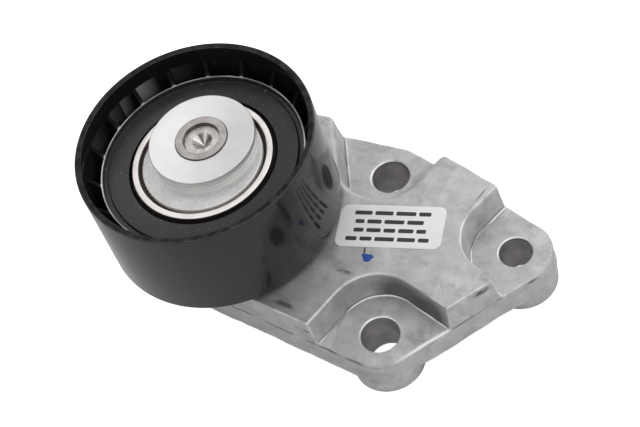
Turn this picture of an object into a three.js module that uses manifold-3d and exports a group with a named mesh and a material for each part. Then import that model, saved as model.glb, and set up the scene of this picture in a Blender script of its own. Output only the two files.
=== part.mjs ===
// Automatic belt tensioner with an idler pulley.
//
// A die-cast base with three bolt lugs carries a fixed steel pivot pin. An eccentric arm turns on the
// pin against a torsion spring, and a ribbed polymer pulley runs on a ball bearing round the arm's hub.
//
// Frame: millimetres. The origin lies on the pivot axis, in the plane of the base's mounting pads.
// +Z runs up the pivot axis towards the pulley's open front. +X points at the far bolt lug.

import * as THREE from 'three';
import * as BufferGeometryUtils from 'three/addons/utils/BufferGeometryUtils.js';
import Module from 'manifold-3d';

// ---- Driving dimensions (mm) ----------------------------------------------------------------

// Resolution of round shapes.
const ROUND = 48;
const BALL_DETAIL = 1;
const ARC_STEP = Math.PI / 15;

// Heights above the mounting plane.
const PLATE_BOTTOM = 5.5;
const LUG_TOP = 12.2;
const DECK_TOP = 20.5;
const PULLEY_BOTTOM = 21.9;
const PULLEY_TOP = 50.5;

// Base plan: the outline is a band wrapped round five circles, in counter-clockwise order.
const CUP_R = 22.8;
const CORNER_C = { x: 46.6, y: -27.9, r: 9.3 };
const CORNER_B = { x: 73.65, y: 0, r: 9.2 };
const CORNER_A = { x: 36.4, y: 18.0, r: 9.2 };
const SHOULDER = { x: 4.0, y: 19.7, r: 10.9 };
const OUTLINE = [{ x: 0, y: 0, r: CUP_R }, CORNER_C, CORNER_B, CORNER_A, SHOULDER];
const DRAFT_BOTTOM = 0.35;
const DRAFT_MIDDLE = 0.2;
const DRAFT_TOP = -0.1;

// Bolt lugs: hole radii at the top and at the foot, spot-face pocket, and mounting pad underneath.
const HOLE_TOP_R = { A: 4.9, B: 4.2, C: 4.9 };
const HOLE_FOOT_R = { A: 4.3, B: 4.15, C: 4.9 };
const HOLE_CHAMFER = 0.4;
const PAD_R = 9.0;
const PAD_DRAFT = 0.3;
const SPOT_FACE_R = 7.7;
const POCKET_R = 11.1;
const POCKET_DRAFT = 0.9;
const POCKET_REACH = 40;

// Headings of each pocket's walls (degrees): the first has the pocket on its right, the second on its left.
const POCKETS = [
  { corner: CORNER_A, walls: [110.9, 64.4] },
  { corner: CORNER_B, walls: [61, -33.6] },
  { corner: CORNER_C, walls: [-27, -115] },
];

// Slope beside lug A, measured out from the bolt hole's axis.
const RAMP = { foot: 7.2, crest: 12.6, length: 34 };

// Spring cup and central tower in the base.
const CUP_BORE_R = 18.5;
const CUP_FLOOR = 7.5;
const CUP_WALL_MARGIN = 0.6;
const FOOT_R = 16.5;
const FOOT_GROOVE = { bore: 11.0, r: 14.3, top: 3.6 };
const TOWER_R = 9.0;
const TOWER_TOP = 17.1;
const PIN_SEAT = 3.0;

// Underside hollow of the base.
const WALL = 3.4;
const HOLLOW_TOP = 16.6;
const LUG_KEEP_OUT_R = 14.8;
const RIB = 2.6;

// Pivot pin.
const PIN_R = 5.0;
const PIN_FIT = 0.02;
const PIN_NOSE = 0.5;
const PIN_HEAD_R = 6.6;
const PIN_HEAD_BOTTOM = 45.05;
const PIN_TOP = 46.7;
const PIN_RECESS = { r: 4.65, depth: 1.2, coneR: 2.5, coneDepth: 2.2 };

// Eccentric arm, turning about the pin and carrying the pulley axis at an offset.
const OFFSET_X = 0.25;
const OFFSET_Y = -3.29;
const ARM_FLANGE_R = 17.05;
const ARM_BOTTOM = 18.3;
const ARM_FLANGE_TOP = 20.9;
const ARM_SHOULDER_R = 13.0;
const ARM_SHOULDER_TOP = 29.6;
const HUB_R = 11.0;
const HUB_TOP = 41.0;
const ARM_BORE_R = 6.3;
const BUSH_BORE_R = 5.07;
const BUSH_R = 6.27;
const WASHER_BORE_R = 5.06;
const WASHER_BOTTOM = 17.13;
const WASHER_TOP = 18.2;
const ARM_CHAMFER = 0.4;

// Stop tab on the arm's flange and the slot that limits its swing.
const TAB_ANGLE = -40;
const TAB_WIDTH = 4.2;
const TAB_TIP_R = 20.6;
const SWING = 60;
const SLOT_R = 21.2;
const SLOT_MARGIN = 0.6;
const SLOT_BORE_R = 13.0;
const SLOT_FLOOR = 17.9;
const TAB_BOTTOM = 18.5;
const TAB_TOP = 20.3;

// Torsion spring in the cup.
const COIL_R = 14.2;
const WIRE_R = 1.1;
const COIL_BOTTOM = 8.9;
const COIL_PITCH = 2.45;
const COIL_TURNS = 3.1;
const COIL_END_ANGLE = 150;
const SPRING_HOLE_R = 2.1;
const SPRING_TOP = 19.5;

// Damping ring between the arm's flange and the cup.
const DAMPER_BORE_R = 17.14;
const DAMPER_R = 18.42;
const DAMPER_BOTTOM = 17.9;
const DAMPER_TOP = 20.3;

// Ball bearing.
const RACE_BORE_R = 11.03;
const INNER_RACE_R = 13.0;
const OUTER_RACE_BORE_R = 16.2;
const OUTER_RACE_R = 17.83;
const INNER_RACE = { bottom: 30.34, top: 40.98 };
const OUTER_RACE = { bottom: 31.9, top: 42.75 };
const PITCH_R = 14.6;
const BALL_Z = 36.4;
const BALL_R = 2.2;
const GROOVE_R = 2.26;
const BALLS = 12;
const CAGE = { bore: 13.3, r: 15.9, bottom: 33.4, top: 39.4, pocket: 2.5 };
const SEAL = { bore: 13.15, r: 16.15, thick: 0.7 };
const FRONT_SEAL_BOTTOM = 40.0;
const REAR_SEAL_BOTTOM = 32.4;

// Front retainer, thrust disc and rear dust shield.
const RETAINER = { r: 15.2, bottom: 41.05, top: 42.6, chamfer: 0.3 };
const RETAINER_BOSS = { r: 13.2, bottom: 43.05, top: 44.9 };
const DISC = { r: 13.4, bottom: 45.0, top: 46.4, bore: 6.63, chamfer: 0.35 };
const SHIELD = { bore: 11.05, r: 24.3, bottom: 29.63, top: 30.32 };

// Pulley.
const RIM_R = 30.0;
const RIM_BORE_R = 28.4;
const LIP_R = 25.9;
const WEB_BOTTOM = 31.0;
const WEB_TOP = 34.5;
const HUB_FACE = 42.0;
const LIP_TOP = 42.5;
const LIP_THICK = 0.5;
const FACE_GROOVE = { bottom: 41.1, outer: 24.1, inner: 18.66, draft: 0.1 };
const SEAT_GAP = 0.02;
const PULLEY_SEAT_R = 17.86;
const PULLEY_REAR_BORE_R = 17.0;
const PULLEY_RIBS = 18;
const PULLEY_RIB_THICK = 1.1;
const PULLEY_RIB_ANGLE = 5.7;
const RIB_ROOT = 0.4;
const FRONT_RIB_OUTER_TOP = 46.1;
const REAR_RIB_BOTTOM = 24.0;
const REAR_RIB_INNER_BOTTOM = 29.0;

// Label on the deck.
const LABEL = { x: 43.9, y: -2.4, width: 26.8, height: 12.4, corner: 2.0, angle: 5.5, thick: 0.2 };
const LABEL_GAP = 0.02;

// How far cutting and joining shapes run past the surfaces they meet.
const OVER = 1;

// ---- Materials -------------------------------------------------------------------------------

function finish(color, roughness, metalness) {
  return new THREE.MeshStandardMaterial({ color, roughness, metalness });
}

const CAST_ALUMINIUM = finish(0xa9a8a7, 0.5, 0.9);
const STEEL = finish(0xcfccc8, 0.3, 1.0);
const SINTERED_STEEL = finish(0xc4c2bf, 0.5, 1.0);
const BEARING_STEEL = finish(0xd9d5ce, 0.25, 1.0);
const SPRING_STEEL = finish(0x5a5c60, 0.45, 1.0);
const BLACK_POLYMER = finish(0x1c1b1c, 0.3, 0.0);
const SEAL_RUBBER = finish(0x1a1412, 0.7, 0.0);
const BUSH_POLYMER = finish(0xc9b78c, 0.6, 0.0);
const CAGE_POLYMER = finish(0x3b2f22, 0.6, 0.0);
const LABEL_FILM = finish(0xe9e8e8, 0.5, 0.0);

// ---- Solids ----------------------------------------------------------------------------------

const wasm = await Module();
wasm.setup();

// A closed geometry as a solid that can be joined and cut.
function solid(geometry) {
  const bare = geometry.index ? geometry.toNonIndexed() : geometry.clone();
  bare.deleteAttribute('normal');
  bare.deleteAttribute('uv');
  const merged = BufferGeometryUtils.mergeVertices(bare, 1e-4);
  const index = merged.index.array;
  const kept = [];
  for (let i = 0; i < index.length; i += 3) {
    const [a, b, c] = [index[i], index[i + 1], index[i + 2]];
    if (a !== b && b !== c && c !== a) {
      kept.push(a, b, c);
    }
  }
  return new wasm.Manifold(new wasm.Mesh({
    numProp: 3,
    vertProperties: new Float32Array(merged.attributes.position.array),
    triVerts: new Uint32Array(kept),
  }));
}

// A solid as a named mesh.
function part(name, body, material) {
  const data = body.getMesh();
  const geometry = new THREE.BufferGeometry();
  geometry.setAttribute('position', new THREE.BufferAttribute(data.vertProperties, 3));
  geometry.setIndex(new THREE.BufferAttribute(data.triVerts, 1));
  geometry.computeVertexNormals();
  const mesh = new THREE.Mesh(geometry, material);
  mesh.name = name;
  return mesh;
}

// A closed profile of [radius, height] points, listed counter-clockwise, turned about Z.
function turned(profile, segments = ROUND) {
  const points = profile.map(([r, z]) => new THREE.Vector2(r, z));
  points.push(points[0].clone());
  return solid(new THREE.LatheGeometry(points, segments).rotateX(Math.PI / 2));
}

function ring(bore, r, bottom, top, segments = ROUND) {
  return turned([[bore, bottom], [r, bottom], [r, top], [bore, top]], segments);
}

function disc(r, bottom, top, segments = ROUND) {
  return turned([[0, bottom], [r, bottom], [r, top], [0, top]], segments);
}

// An outline of Vector2 points, pushed up from one height to another.
function prism(outline, bottom, top) {
  const shape = new THREE.Shape(outline);
  const geometry = new THREE.ExtrudeGeometry(shape, { depth: top - bottom, bevelEnabled: false });
  return solid(geometry.translate(0, 0, bottom));
}

// A solid through sections that share one count of points: [{ z, outline }, ...], bottom first.
function loft(sections) {
  const count = sections[0].outline.length;
  const positions = [];
  for (const { z, outline } of sections) {
    outline.forEach((p) => positions.push(p.x, p.y, z));
  }
  const index = [];
  for (let level = 0; level + 1 < sections.length; level += 1) {
    for (let i = 0; i < count; i += 1) {
      const a = level * count + i;
      const b = level * count + (i + 1) % count;
      index.push(a, b, b + count, a, b + count, a + count);
    }
  }
  const last = (sections.length - 1) * count;
  for (const [a, b, c] of THREE.ShapeUtils.triangulateShape(sections[0].outline, [])) {
    index.push(a, c, b);
  }
  for (const [a, b, c] of THREE.ShapeUtils.triangulateShape(sections.at(-1).outline, [])) {
    index.push(last + a, last + b, last + c);
  }
  const geometry = new THREE.BufferGeometry();
  geometry.setAttribute('position', new THREE.Float32BufferAttribute(positions, 3));
  geometry.setIndex(index);
  return solid(geometry);
}

// Points on an arc from one angle to a larger one, in radians.
function arc(x, y, r, from, to) {
  const steps = Math.max(1, Math.round((to - from) / ARC_STEP));
  const points = [];
  for (let i = 0; i <= steps; i += 1) {
    const angle = from + (to - from) * i / steps;
    points.push(new THREE.Vector2(x + r * Math.cos(angle), y + r * Math.sin(angle)));
  }
  return points;
}

// The outline of a tight band round circles listed counter-clockwise, grown by a margin.
function band(circles, margin) {
  const grown = circles.map(({ x, y, r }) => ({ x, y, r: r + margin }));
  const normals = grown.map((circle, i) => {
    const next = grown[(i + 1) % grown.length];
    const along = Math.atan2(next.y - circle.y, next.x - circle.x);
    const distance = Math.hypot(next.x - circle.x, next.y - circle.y);
    return along - Math.acos((circle.r - next.r) / distance);
  });
  return grown.flatMap((circle, i) => {
    const from = normals[(i + grown.length - 1) % grown.length];
    let to = normals[i];
    while (to < from) {
      to += 2 * Math.PI;
    }
    return arc(circle.x, circle.y, circle.r, from, to);
  });
}

const radians = THREE.MathUtils.degToRad;

// Turns a solid about Z and moves it in plan.
function placed(body, x, y, degrees = 0) {
  return body.rotate([0, 0, degrees]).translate([x, y, 0]);
}

function onPulleyAxis(body) {
  return placed(body, OFFSET_X, OFFSET_Y);
}

// A straight bar in plan between two points.
function bar(x1, y1, x2, y2, width, bottom, top) {
  const length = Math.hypot(x2 - x1, y2 - y1);
  const box = new THREE.BoxGeometry(length, width, top - bottom);
  box.translate(length / 2, 0, (bottom + top) / 2);
  return placed(solid(box), x1, y1, THREE.MathUtils.radToDeg(Math.atan2(y2 - y1, x2 - x1)));
}

// A sector of a ring between two angles in degrees.
function sector(bore, r, from, to, bottom, top) {
  const inner = arc(0, 0, bore, radians(from), radians(to)).reverse();
  return prism([...arc(0, 0, r, radians(from), radians(to)), ...inner], bottom, top);
}

// ---- Base casting ----------------------------------------------------------------------------

// A pocket round a lug: an arc behind the bolt hole and two walls running out past the edge.
function pocketOutline({ corner, walls: [firstWall, secondWall] }, r) {
  const start = radians(firstWall) + Math.PI / 2;
  let end = radians(secondWall) - Math.PI / 2;
  while (end < start) {
    end += 2 * Math.PI;
  }
  const behind = arc(corner.x, corner.y, r, start, end);
  const reach = (point, heading) => new THREE.Vector2(
    point.x + POCKET_REACH * Math.cos(radians(heading)),
    point.y + POCKET_REACH * Math.sin(radians(heading)),
  );
  return [reach(behind[0], firstWall), ...behind, reach(behind.at(-1), secondWall)];
}

function pocket(place) {
  const grow = POCKET_DRAFT * (DECK_TOP + OVER - LUG_TOP) / (DECK_TOP - LUG_TOP);
  return loft([
    { z: LUG_TOP, outline: pocketOutline(place, POCKET_R) },
    { z: DECK_TOP + OVER, outline: pocketOutline(place, POCKET_R + grow) },
  ]);
}

// A slope that eases the wall of the pocket at lug A down from the deck.
function rampAtLugA() {
  const low = LUG_TOP - OVER;
  const profile = new THREE.Shape([
    new THREE.Vector2(RAMP.foot, low),
    new THREE.Vector2(RAMP.crest + WALL, low),
    new THREE.Vector2(RAMP.crest + WALL, DECK_TOP),
    new THREE.Vector2(RAMP.crest, DECK_TOP),
    new THREE.Vector2(RAMP.foot, LUG_TOP),
  ]);
  const secondWall = POCKETS[0].walls[1];
  const geometry = new THREE.ExtrudeGeometry(profile, { depth: RAMP.length, bevelEnabled: false });
  geometry.translate(0, 0, -RAMP.length / 2).rotateX(Math.PI / 2);
  return placed(solid(geometry), CORNER_A.x, CORNER_A.y, secondWall - 90)
    .intersect(prism(band(OUTLINE, DRAFT_TOP), low, DECK_TOP))
    .subtract(placed(disc(SPOT_FACE_R, low, DECK_TOP + OVER, ROUND / 2), CORNER_A.x, CORNER_A.y));
}

function boltHole(corner, name) {
  const topR = HOLE_TOP_R[name];
  return placed(turned([
    [0, -OVER],
    [HOLE_FOOT_R[name], -OVER],
    [topR, LUG_TOP - HOLE_CHAMFER],
    [topR + HOLE_CHAMFER + OVER, LUG_TOP + OVER],
    [0, LUG_TOP + OVER],
  ], ROUND / 2), corner.x, corner.y);
}

// A round pad that stands on the mounting plane and runs up into the plate.
function standingPad(r, segments) {
  const top = PLATE_BOTTOM + OVER;
  return turned([[0, 0], [r, 0], [r + PAD_DRAFT, top], [0, top]], segments);
}

// The cored-out underside: the deck less its walls, the lugs, the cup and two stiffening ribs.
function undersideHollow() {
  const low = -2 * OVER;
  const high = HOLLOW_TOP + OVER;
  const core = prism(band(OUTLINE, DRAFT_BOTTOM - WALL), -OVER, HOLLOW_TOP);
  const keepOut = POCKETS.map((place) => prism(pocketOutline(place, LUG_KEEP_OUT_R), low, high));
  const cup = disc(CUP_R + CUP_WALL_MARGIN, low, high);
  const ribs = [
    bar(0, 0, CORNER_B.x, CORNER_B.y, RIB, low, high),
    bar(CORNER_A.x, CORNER_A.y, CORNER_C.x, CORNER_C.y, RIB, low, high),
  ];
  return [...keepOut, cup, ...ribs].reduce((left, tool) => left.subtract(tool), core);
}

// The window in which the arm's stop tab swings, with a margin in degrees at each end.
function tabWindow(margin, bore, bottom, top) {
  const half = THREE.MathUtils.radToDeg(TAB_WIDTH / 2 / ARM_FLANGE_R) + margin;
  return sector(bore, SLOT_R, TAB_ANGLE - half, TAB_ANGLE + SWING + half, bottom, top);
}

function baseCasting() {
  const body = loft([
    { z: PLATE_BOTTOM, outline: band(OUTLINE, DRAFT_BOTTOM) },
    { z: LUG_TOP, outline: band(OUTLINE, DRAFT_MIDDLE) },
    { z: DECK_TOP, outline: band(OUTLINE, DRAFT_TOP) },
  ]);
  const pads = [CORNER_A, CORNER_B, CORNER_C]
    .map(({ x, y }) => placed(standingPad(PAD_R, ROUND / 2), x, y));
  const cuts = [
    ...POCKETS.map(pocket),
    undersideHollow(),
    disc(CUP_BORE_R, CUP_FLOOR, DECK_TOP + OVER),
    tabWindow(SLOT_MARGIN, SLOT_BORE_R, SLOT_FLOOR, DECK_TOP + OVER),
  ];
  const tower = disc(TOWER_R, CUP_FLOOR - OVER, TOWER_TOP);
  const holes = [
    boltHole(CORNER_A, 'A'),
    boltHole(CORNER_B, 'B'),
    boltHole(CORNER_C, 'C'),
    disc(PIN_R + PIN_FIT, PIN_SEAT, TOWER_TOP + OVER),
    ring(FOOT_GROOVE.bore, FOOT_GROOVE.r, -OVER, FOOT_GROOVE.top),
  ];
  let base = cuts.reduce((left, tool) => left.subtract(tool), body);
  const joined = [...pads, standingPad(FOOT_R, ROUND), tower, rampAtLugA()];
  base = joined.reduce((sum, piece) => sum.add(piece), base);
  base = holes.reduce((left, tool) => left.subtract(tool), base);
  return part('base_casting', base, CAST_ALUMINIUM);
}

// ---- Pivot pin, bush and arm -----------------------------------------------------------------

function pivotPin() {
  const chamfer = 0.3;
  const { r, depth, coneR, coneDepth } = PIN_RECESS;
  const floor = PIN_TOP - depth;
  const end = PIN_SEAT + PIN_FIT;
  return part('pivot_pin', turned([
    [0, end],
    [PIN_R - PIN_NOSE, end],
    [PIN_R, end + PIN_NOSE],
    [PIN_R, PIN_HEAD_BOTTOM],
    [PIN_HEAD_R, PIN_HEAD_BOTTOM],
    [PIN_HEAD_R, PIN_TOP - chamfer],
    [PIN_HEAD_R - chamfer, PIN_TOP],
    [r, PIN_TOP],
    [r - chamfer, floor],
    [coneR, floor],
    [0, floor - coneDepth],
  ]), STEEL);
}

function eccentricArm() {
  const flange = disc(ARM_FLANGE_R, ARM_BOTTOM, ARM_FLANGE_TOP);
  const hub = onPulleyAxis(turned([
    [0, ARM_FLANGE_TOP - OVER],
    [ARM_SHOULDER_R, ARM_FLANGE_TOP - OVER],
    [ARM_SHOULDER_R, ARM_SHOULDER_TOP],
    [HUB_R, ARM_SHOULDER_TOP],
    [HUB_R, HUB_TOP - ARM_CHAMFER],
    [HUB_R - ARM_CHAMFER, HUB_TOP],
    [0, HUB_TOP],
  ]));
  const tab = placed(bar(0, 0, TAB_TIP_R, 0, TAB_WIDTH, TAB_BOTTOM, TAB_TOP), 0, 0, TAB_ANGLE);
  const bore = disc(ARM_BORE_R, ARM_BOTTOM - OVER, HUB_TOP + OVER);
  const legHole = placed(disc(SPRING_HOLE_R, ARM_BOTTOM - OVER, TAB_TOP, ROUND / 3), ...springTop());
  const arm = flange.add(hub).add(tab).subtract(bore).subtract(legHole);
  return part('eccentric_arm', arm, CAST_ALUMINIUM);
}

function pivotBush() {
  const shortfall = 0.1;
  const top = RETAINER_BOSS.top - shortfall;
  return part('pivot_bush', ring(BUSH_BORE_R, BUSH_R, ARM_BOTTOM, top), BUSH_POLYMER);
}

function thrustWasher() {
  return part('thrust_washer', ring(WASHER_BORE_R, TOWER_R, WASHER_BOTTOM, WASHER_TOP), BUSH_POLYMER);
}

function dampingRing() {
  const sleeve = ring(DAMPER_BORE_R, DAMPER_R, DAMPER_BOTTOM, DAMPER_TOP);
  const gap = tabWindow(2 * SLOT_MARGIN, TOWER_R, DAMPER_BOTTOM - OVER, DAMPER_TOP + OVER);
  return part('damping_ring', sleeve.subtract(gap), BUSH_POLYMER);
}

// ---- Torsion spring --------------------------------------------------------------------------

// Plan position of the spring's upper leg, which stands up into the arm's flange.
function springTop() {
  const angle = radians(COIL_END_ANGLE);
  return [COIL_R * Math.cos(angle), COIL_R * Math.sin(angle)];
}

// The wire's centre line: a helix whose lower end lies on the cup's floor and whose upper end
// turns up into the arm's flange.
class SpringPath extends THREE.Curve {
  getPoint(t, target = new THREE.Vector3()) {
    const legShare = 0.03;
    const sweep = Math.min(t / (1 - legShare), 1);
    const angle = radians(COIL_END_ANGLE) - (1 - sweep) * COIL_TURNS * 2 * Math.PI;
    const leg = Math.max(0, t - (1 - legShare)) / legShare;
    const rise = COIL_TURNS * COIL_PITCH;
    const z = COIL_BOTTOM + sweep * rise + leg * (SPRING_TOP - COIL_BOTTOM - rise);
    return target.set(COIL_R * Math.cos(angle), COIL_R * Math.sin(angle), z);
  }
}

function torsionSpring() {
  const sides = 8;
  const section = new THREE.Shape();
  for (let i = 0; i < sides; i += 1) {
    const angle = 2 * Math.PI * i / sides;
    const point = [WIRE_R * Math.cos(angle), WIRE_R * Math.sin(angle)];
    if (i === 0) {
      section.moveTo(...point);
    } else {
      section.lineTo(...point);
    }
  }
  const geometry = new THREE.ExtrudeGeometry(section, { steps: 60, extrudePath: new SpringPath() });
  return part('torsion_spring', solid(geometry), SPRING_STEEL);
}

// ---- Ball bearing ----------------------------------------------------------------------------

// Points of a ball groove's cross-section, from one height to the other.
function groove(edgeR, fromBelow) {
  const spread = Math.acos(Math.abs(edgeR - PITCH_R) / GROOVE_R);
  const middle = edgeR > PITCH_R ? 0 : Math.PI;
  const steps = 5;
  const sign = (edgeR > PITCH_R) === fromBelow ? 1 : -1;
  return Array.from({ length: steps + 1 }, (_, i) => {
    const angle = middle + sign * spread * (2 * i / steps - 1);
    return [PITCH_R + GROOVE_R * Math.cos(angle), BALL_Z + GROOVE_R * Math.sin(angle)];
  });
}

function innerRace() {
  const { bottom, top } = INNER_RACE;
  return part('inner_race', onPulleyAxis(turned([
    [RACE_BORE_R, bottom],
    [INNER_RACE_R, bottom],
    ...groove(INNER_RACE_R, true),
    [INNER_RACE_R, top],
    [RACE_BORE_R, top],
  ])), BEARING_STEEL);
}

function outerRace() {
  const { bottom, top } = OUTER_RACE;
  const chamfer = 0.25;
  return part('outer_race', onPulleyAxis(turned([
    [OUTER_RACE_BORE_R, bottom],
    [OUTER_RACE_R, bottom],
    [OUTER_RACE_R, top - chamfer],
    [OUTER_RACE_R - chamfer, top],
    [OUTER_RACE_BORE_R + chamfer, top],
    [OUTER_RACE_BORE_R, top - chamfer],
    ...groove(OUTER_RACE_BORE_R, false),
  ])), BEARING_STEEL);
}

// Plan position of ball number k.
function ballPlace(k) {
  const angle = 2 * Math.PI * k / BALLS;
  return [PITCH_R * Math.cos(angle), PITCH_R * Math.sin(angle)];
}

function ball(k) {
  const sphere = new THREE.IcosahedronGeometry(BALL_R, BALL_DETAIL).translate(0, 0, BALL_Z);
  const number = String(k + 1).padStart(2, '0');
  return part(`ball_${number}`, onPulleyAxis(placed(solid(sphere), ...ballPlace(k))), BEARING_STEEL);
}

function ballCage() {
  let cage = ring(CAGE.bore, CAGE.r, CAGE.bottom, CAGE.top);
  for (let k = 0; k < BALLS; k += 1) {
    const depth = 2 * (CAGE.r - CAGE.bore);
    const window = new THREE.CylinderGeometry(CAGE.pocket, CAGE.pocket, depth, ROUND / 4);
    window.rotateZ(Math.PI / 2).translate(PITCH_R, 0, BALL_Z);
    cage = cage.subtract(placed(solid(window), 0, 0, 360 * k / BALLS));
  }
  return part('ball_cage', onPulleyAxis(cage), CAGE_POLYMER);
}

function seal(name, bottom) {
  return part(name, onPulleyAxis(ring(SEAL.bore, SEAL.r, bottom, bottom + SEAL.thick)), SEAL_RUBBER);
}

// ---- Front retainer, thrust disc and dust shield ---------------------------------------------

function retainer() {
  const { r, bottom, top, chamfer } = RETAINER;
  const flange = onPulleyAxis(turned([
    [0, bottom],
    [r - chamfer, bottom],
    [r, bottom + chamfer],
    [r, top - chamfer],
    [r - chamfer, top],
    [0, top],
  ]));
  const boss = disc(RETAINER_BOSS.r, RETAINER_BOSS.bottom, RETAINER_BOSS.top);
  const neck = disc(RETAINER_BOSS.r, top - OVER, RETAINER_BOSS.bottom + OVER)
    .intersect(onPulleyAxis(disc(r - chamfer, bottom, RETAINER_BOSS.top)));
  const bore = disc(ARM_BORE_R, bottom - OVER, RETAINER_BOSS.top + OVER);
  const whole = flange.add(neck).add(boss).subtract(bore);
  return part('bearing_retainer', whole, SINTERED_STEEL);
}

function thrustDisc() {
  const { r, bottom, top, bore, chamfer } = DISC;
  return part('thrust_disc', turned([
    [bore, bottom],
    [r - chamfer, bottom],
    [r, bottom + chamfer],
    [r, top - chamfer],
    [r - chamfer, top],
    [bore, top],
  ]), STEEL);
}

function dustShield() {
  const plate = ring(SHIELD.bore, SHIELD.r, SHIELD.bottom, SHIELD.top);
  return part('dust_shield', onPulleyAxis(plate), STEEL);
}

// ---- Pulley ----------------------------------------------------------------------------------

// A radial rib: a flat plate with the given [radius, height] outline.
function radialRib(outline, k) {
  const shape = new THREE.Shape(outline.map(([r, z]) => new THREE.Vector2(r, z)));
  const geometry = new THREE.ExtrudeGeometry(shape, { depth: PULLEY_RIB_THICK, bevelEnabled: false });
  geometry.translate(0, 0, -PULLEY_RIB_THICK / 2).rotateX(Math.PI / 2);
  return placed(solid(geometry), 0, 0, PULLEY_RIB_ANGLE + 360 * k / PULLEY_RIBS);
}

function pulley() {
  const edge = 0.3;
  const draft = 0.4;
  const { bottom: grooveBottom, outer, inner, draft: grooveDraft } = FACE_GROOVE;
  const seatBottom = OUTER_RACE.bottom - SEAT_GAP;
  let body = turned([
    [PULLEY_REAR_BORE_R, WEB_BOTTOM],
    [RIM_BORE_R - draft, WEB_BOTTOM],
    [RIM_BORE_R, PULLEY_BOTTOM + edge],
    [RIM_BORE_R + edge, PULLEY_BOTTOM],
    [RIM_R - edge, PULLEY_BOTTOM],
    [RIM_R, PULLEY_BOTTOM + edge],
    [RIM_R, PULLEY_TOP - edge],
    [RIM_R - edge, PULLEY_TOP],
    [RIM_BORE_R + edge, PULLEY_TOP],
    [RIM_BORE_R, PULLEY_TOP - edge],
    [RIM_BORE_R - draft, WEB_TOP],
    [LIP_R, WEB_TOP],
    [LIP_R, LIP_TOP],
    [LIP_R - LIP_THICK, LIP_TOP],
    [LIP_R - LIP_THICK - grooveDraft, grooveBottom],
    [outer, grooveBottom],
    [outer - grooveDraft, HUB_FACE],
    [inner + grooveDraft, HUB_FACE],
    [inner, grooveBottom],
    [PULLEY_SEAT_R, grooveBottom],
    [PULLEY_SEAT_R, seatBottom],
    [PULLEY_REAR_BORE_R, seatBottom],
  ]);
  const near = LIP_R - RIB_ROOT;
  const far = RIM_BORE_R + RIB_ROOT;
  const front = [
    [near, WEB_TOP - OVER],
    [far, WEB_TOP - OVER],
    [far, FRONT_RIB_OUTER_TOP],
    [near, LIP_TOP],
  ];
  const rear = [
    [near, WEB_BOTTOM + OVER],
    [near, REAR_RIB_INNER_BOTTOM],
    [far, REAR_RIB_BOTTOM],
    [far, WEB_BOTTOM + OVER],
  ];
  for (let k = 0; k < PULLEY_RIBS; k += 1) {
    body = body.add(radialRib(front, k)).add(radialRib(rear, k));
  }
  return part('pulley', onPulleyAxis(body), BLACK_POLYMER);
}

// ---- Label -----------------------------------------------------------------------------------

function deckLabel() {
  const { x, y, width, height, corner, angle, thick } = LABEL;
  const [w, h] = [width / 2 - corner, height / 2 - corner];
  const outline = band([{ x: -w, y: -h }, { x: w, y: -h }, { x: w, y: h }, { x: -w, y: h }]
    .map((centre) => ({ ...centre, r: corner })), 0);
  const bottom = DECK_TOP + LABEL_GAP;
  return part('deck_label', placed(prism(outline, bottom, bottom + thick), x, y, angle), LABEL_FILM);
}

// ---- Assembly --------------------------------------------------------------------------------

const tensioner = new THREE.Group();
tensioner.add(
  baseCasting(),
  pivotPin(),
  thrustWasher(),
  dampingRing(),
  torsionSpring(),
  deckLabel(),
  eccentricArm(),
  pivotBush(),
  innerRace(),
  retainer(),
  dustShield(),
  thrustDisc(),
  outerRace(),
  seal('front_seal', FRONT_SEAL_BOTTOM),
  seal('rear_seal', REAR_SEAL_BOTTOM),
  pulley(),
  ballCage(),
);
for (let k = 0; k < BALLS; k += 1) {
  tensioner.add(ball(k));
}

export default tensioner;
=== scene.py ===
"""Looks of a belt tensioner with its idler pulley.

Every visible piece is built finely here in millimetres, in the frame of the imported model, and
written in metres. The base casting is one distance field with cast fillets, turned into a mesh and
then machined. Round parts are turned from profiles with rounded corners.
"""

import math
import random

import bmesh
import bpy
import numpy as np
from mathutils import Matrix, Vector


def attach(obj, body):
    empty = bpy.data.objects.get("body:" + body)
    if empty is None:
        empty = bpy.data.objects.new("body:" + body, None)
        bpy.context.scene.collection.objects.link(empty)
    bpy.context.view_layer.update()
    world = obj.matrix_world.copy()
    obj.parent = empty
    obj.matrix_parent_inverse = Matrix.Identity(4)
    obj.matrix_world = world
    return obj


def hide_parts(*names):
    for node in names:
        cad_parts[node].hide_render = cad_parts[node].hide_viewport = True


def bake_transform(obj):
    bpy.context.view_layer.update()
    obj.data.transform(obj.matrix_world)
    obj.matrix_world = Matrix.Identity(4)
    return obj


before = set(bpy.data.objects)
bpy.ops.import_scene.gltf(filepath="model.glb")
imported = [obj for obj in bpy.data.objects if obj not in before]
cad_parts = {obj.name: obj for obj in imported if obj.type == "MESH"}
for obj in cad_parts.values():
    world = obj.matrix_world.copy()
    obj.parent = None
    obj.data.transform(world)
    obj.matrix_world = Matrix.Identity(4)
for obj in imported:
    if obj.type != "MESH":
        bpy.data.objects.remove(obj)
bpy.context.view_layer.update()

MM = 0.001

# ---- Driving dimensions (mm) ----

# Heights above the mounting plane.
PLATE_BOTTOM = 5.5
LUG_TOP = 12.2
DECK_TOP = 20.5
HOLLOW_TOP = 16.6
CUP_FLOOR = 7.5
TOWER_TOP = 17.1

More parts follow.
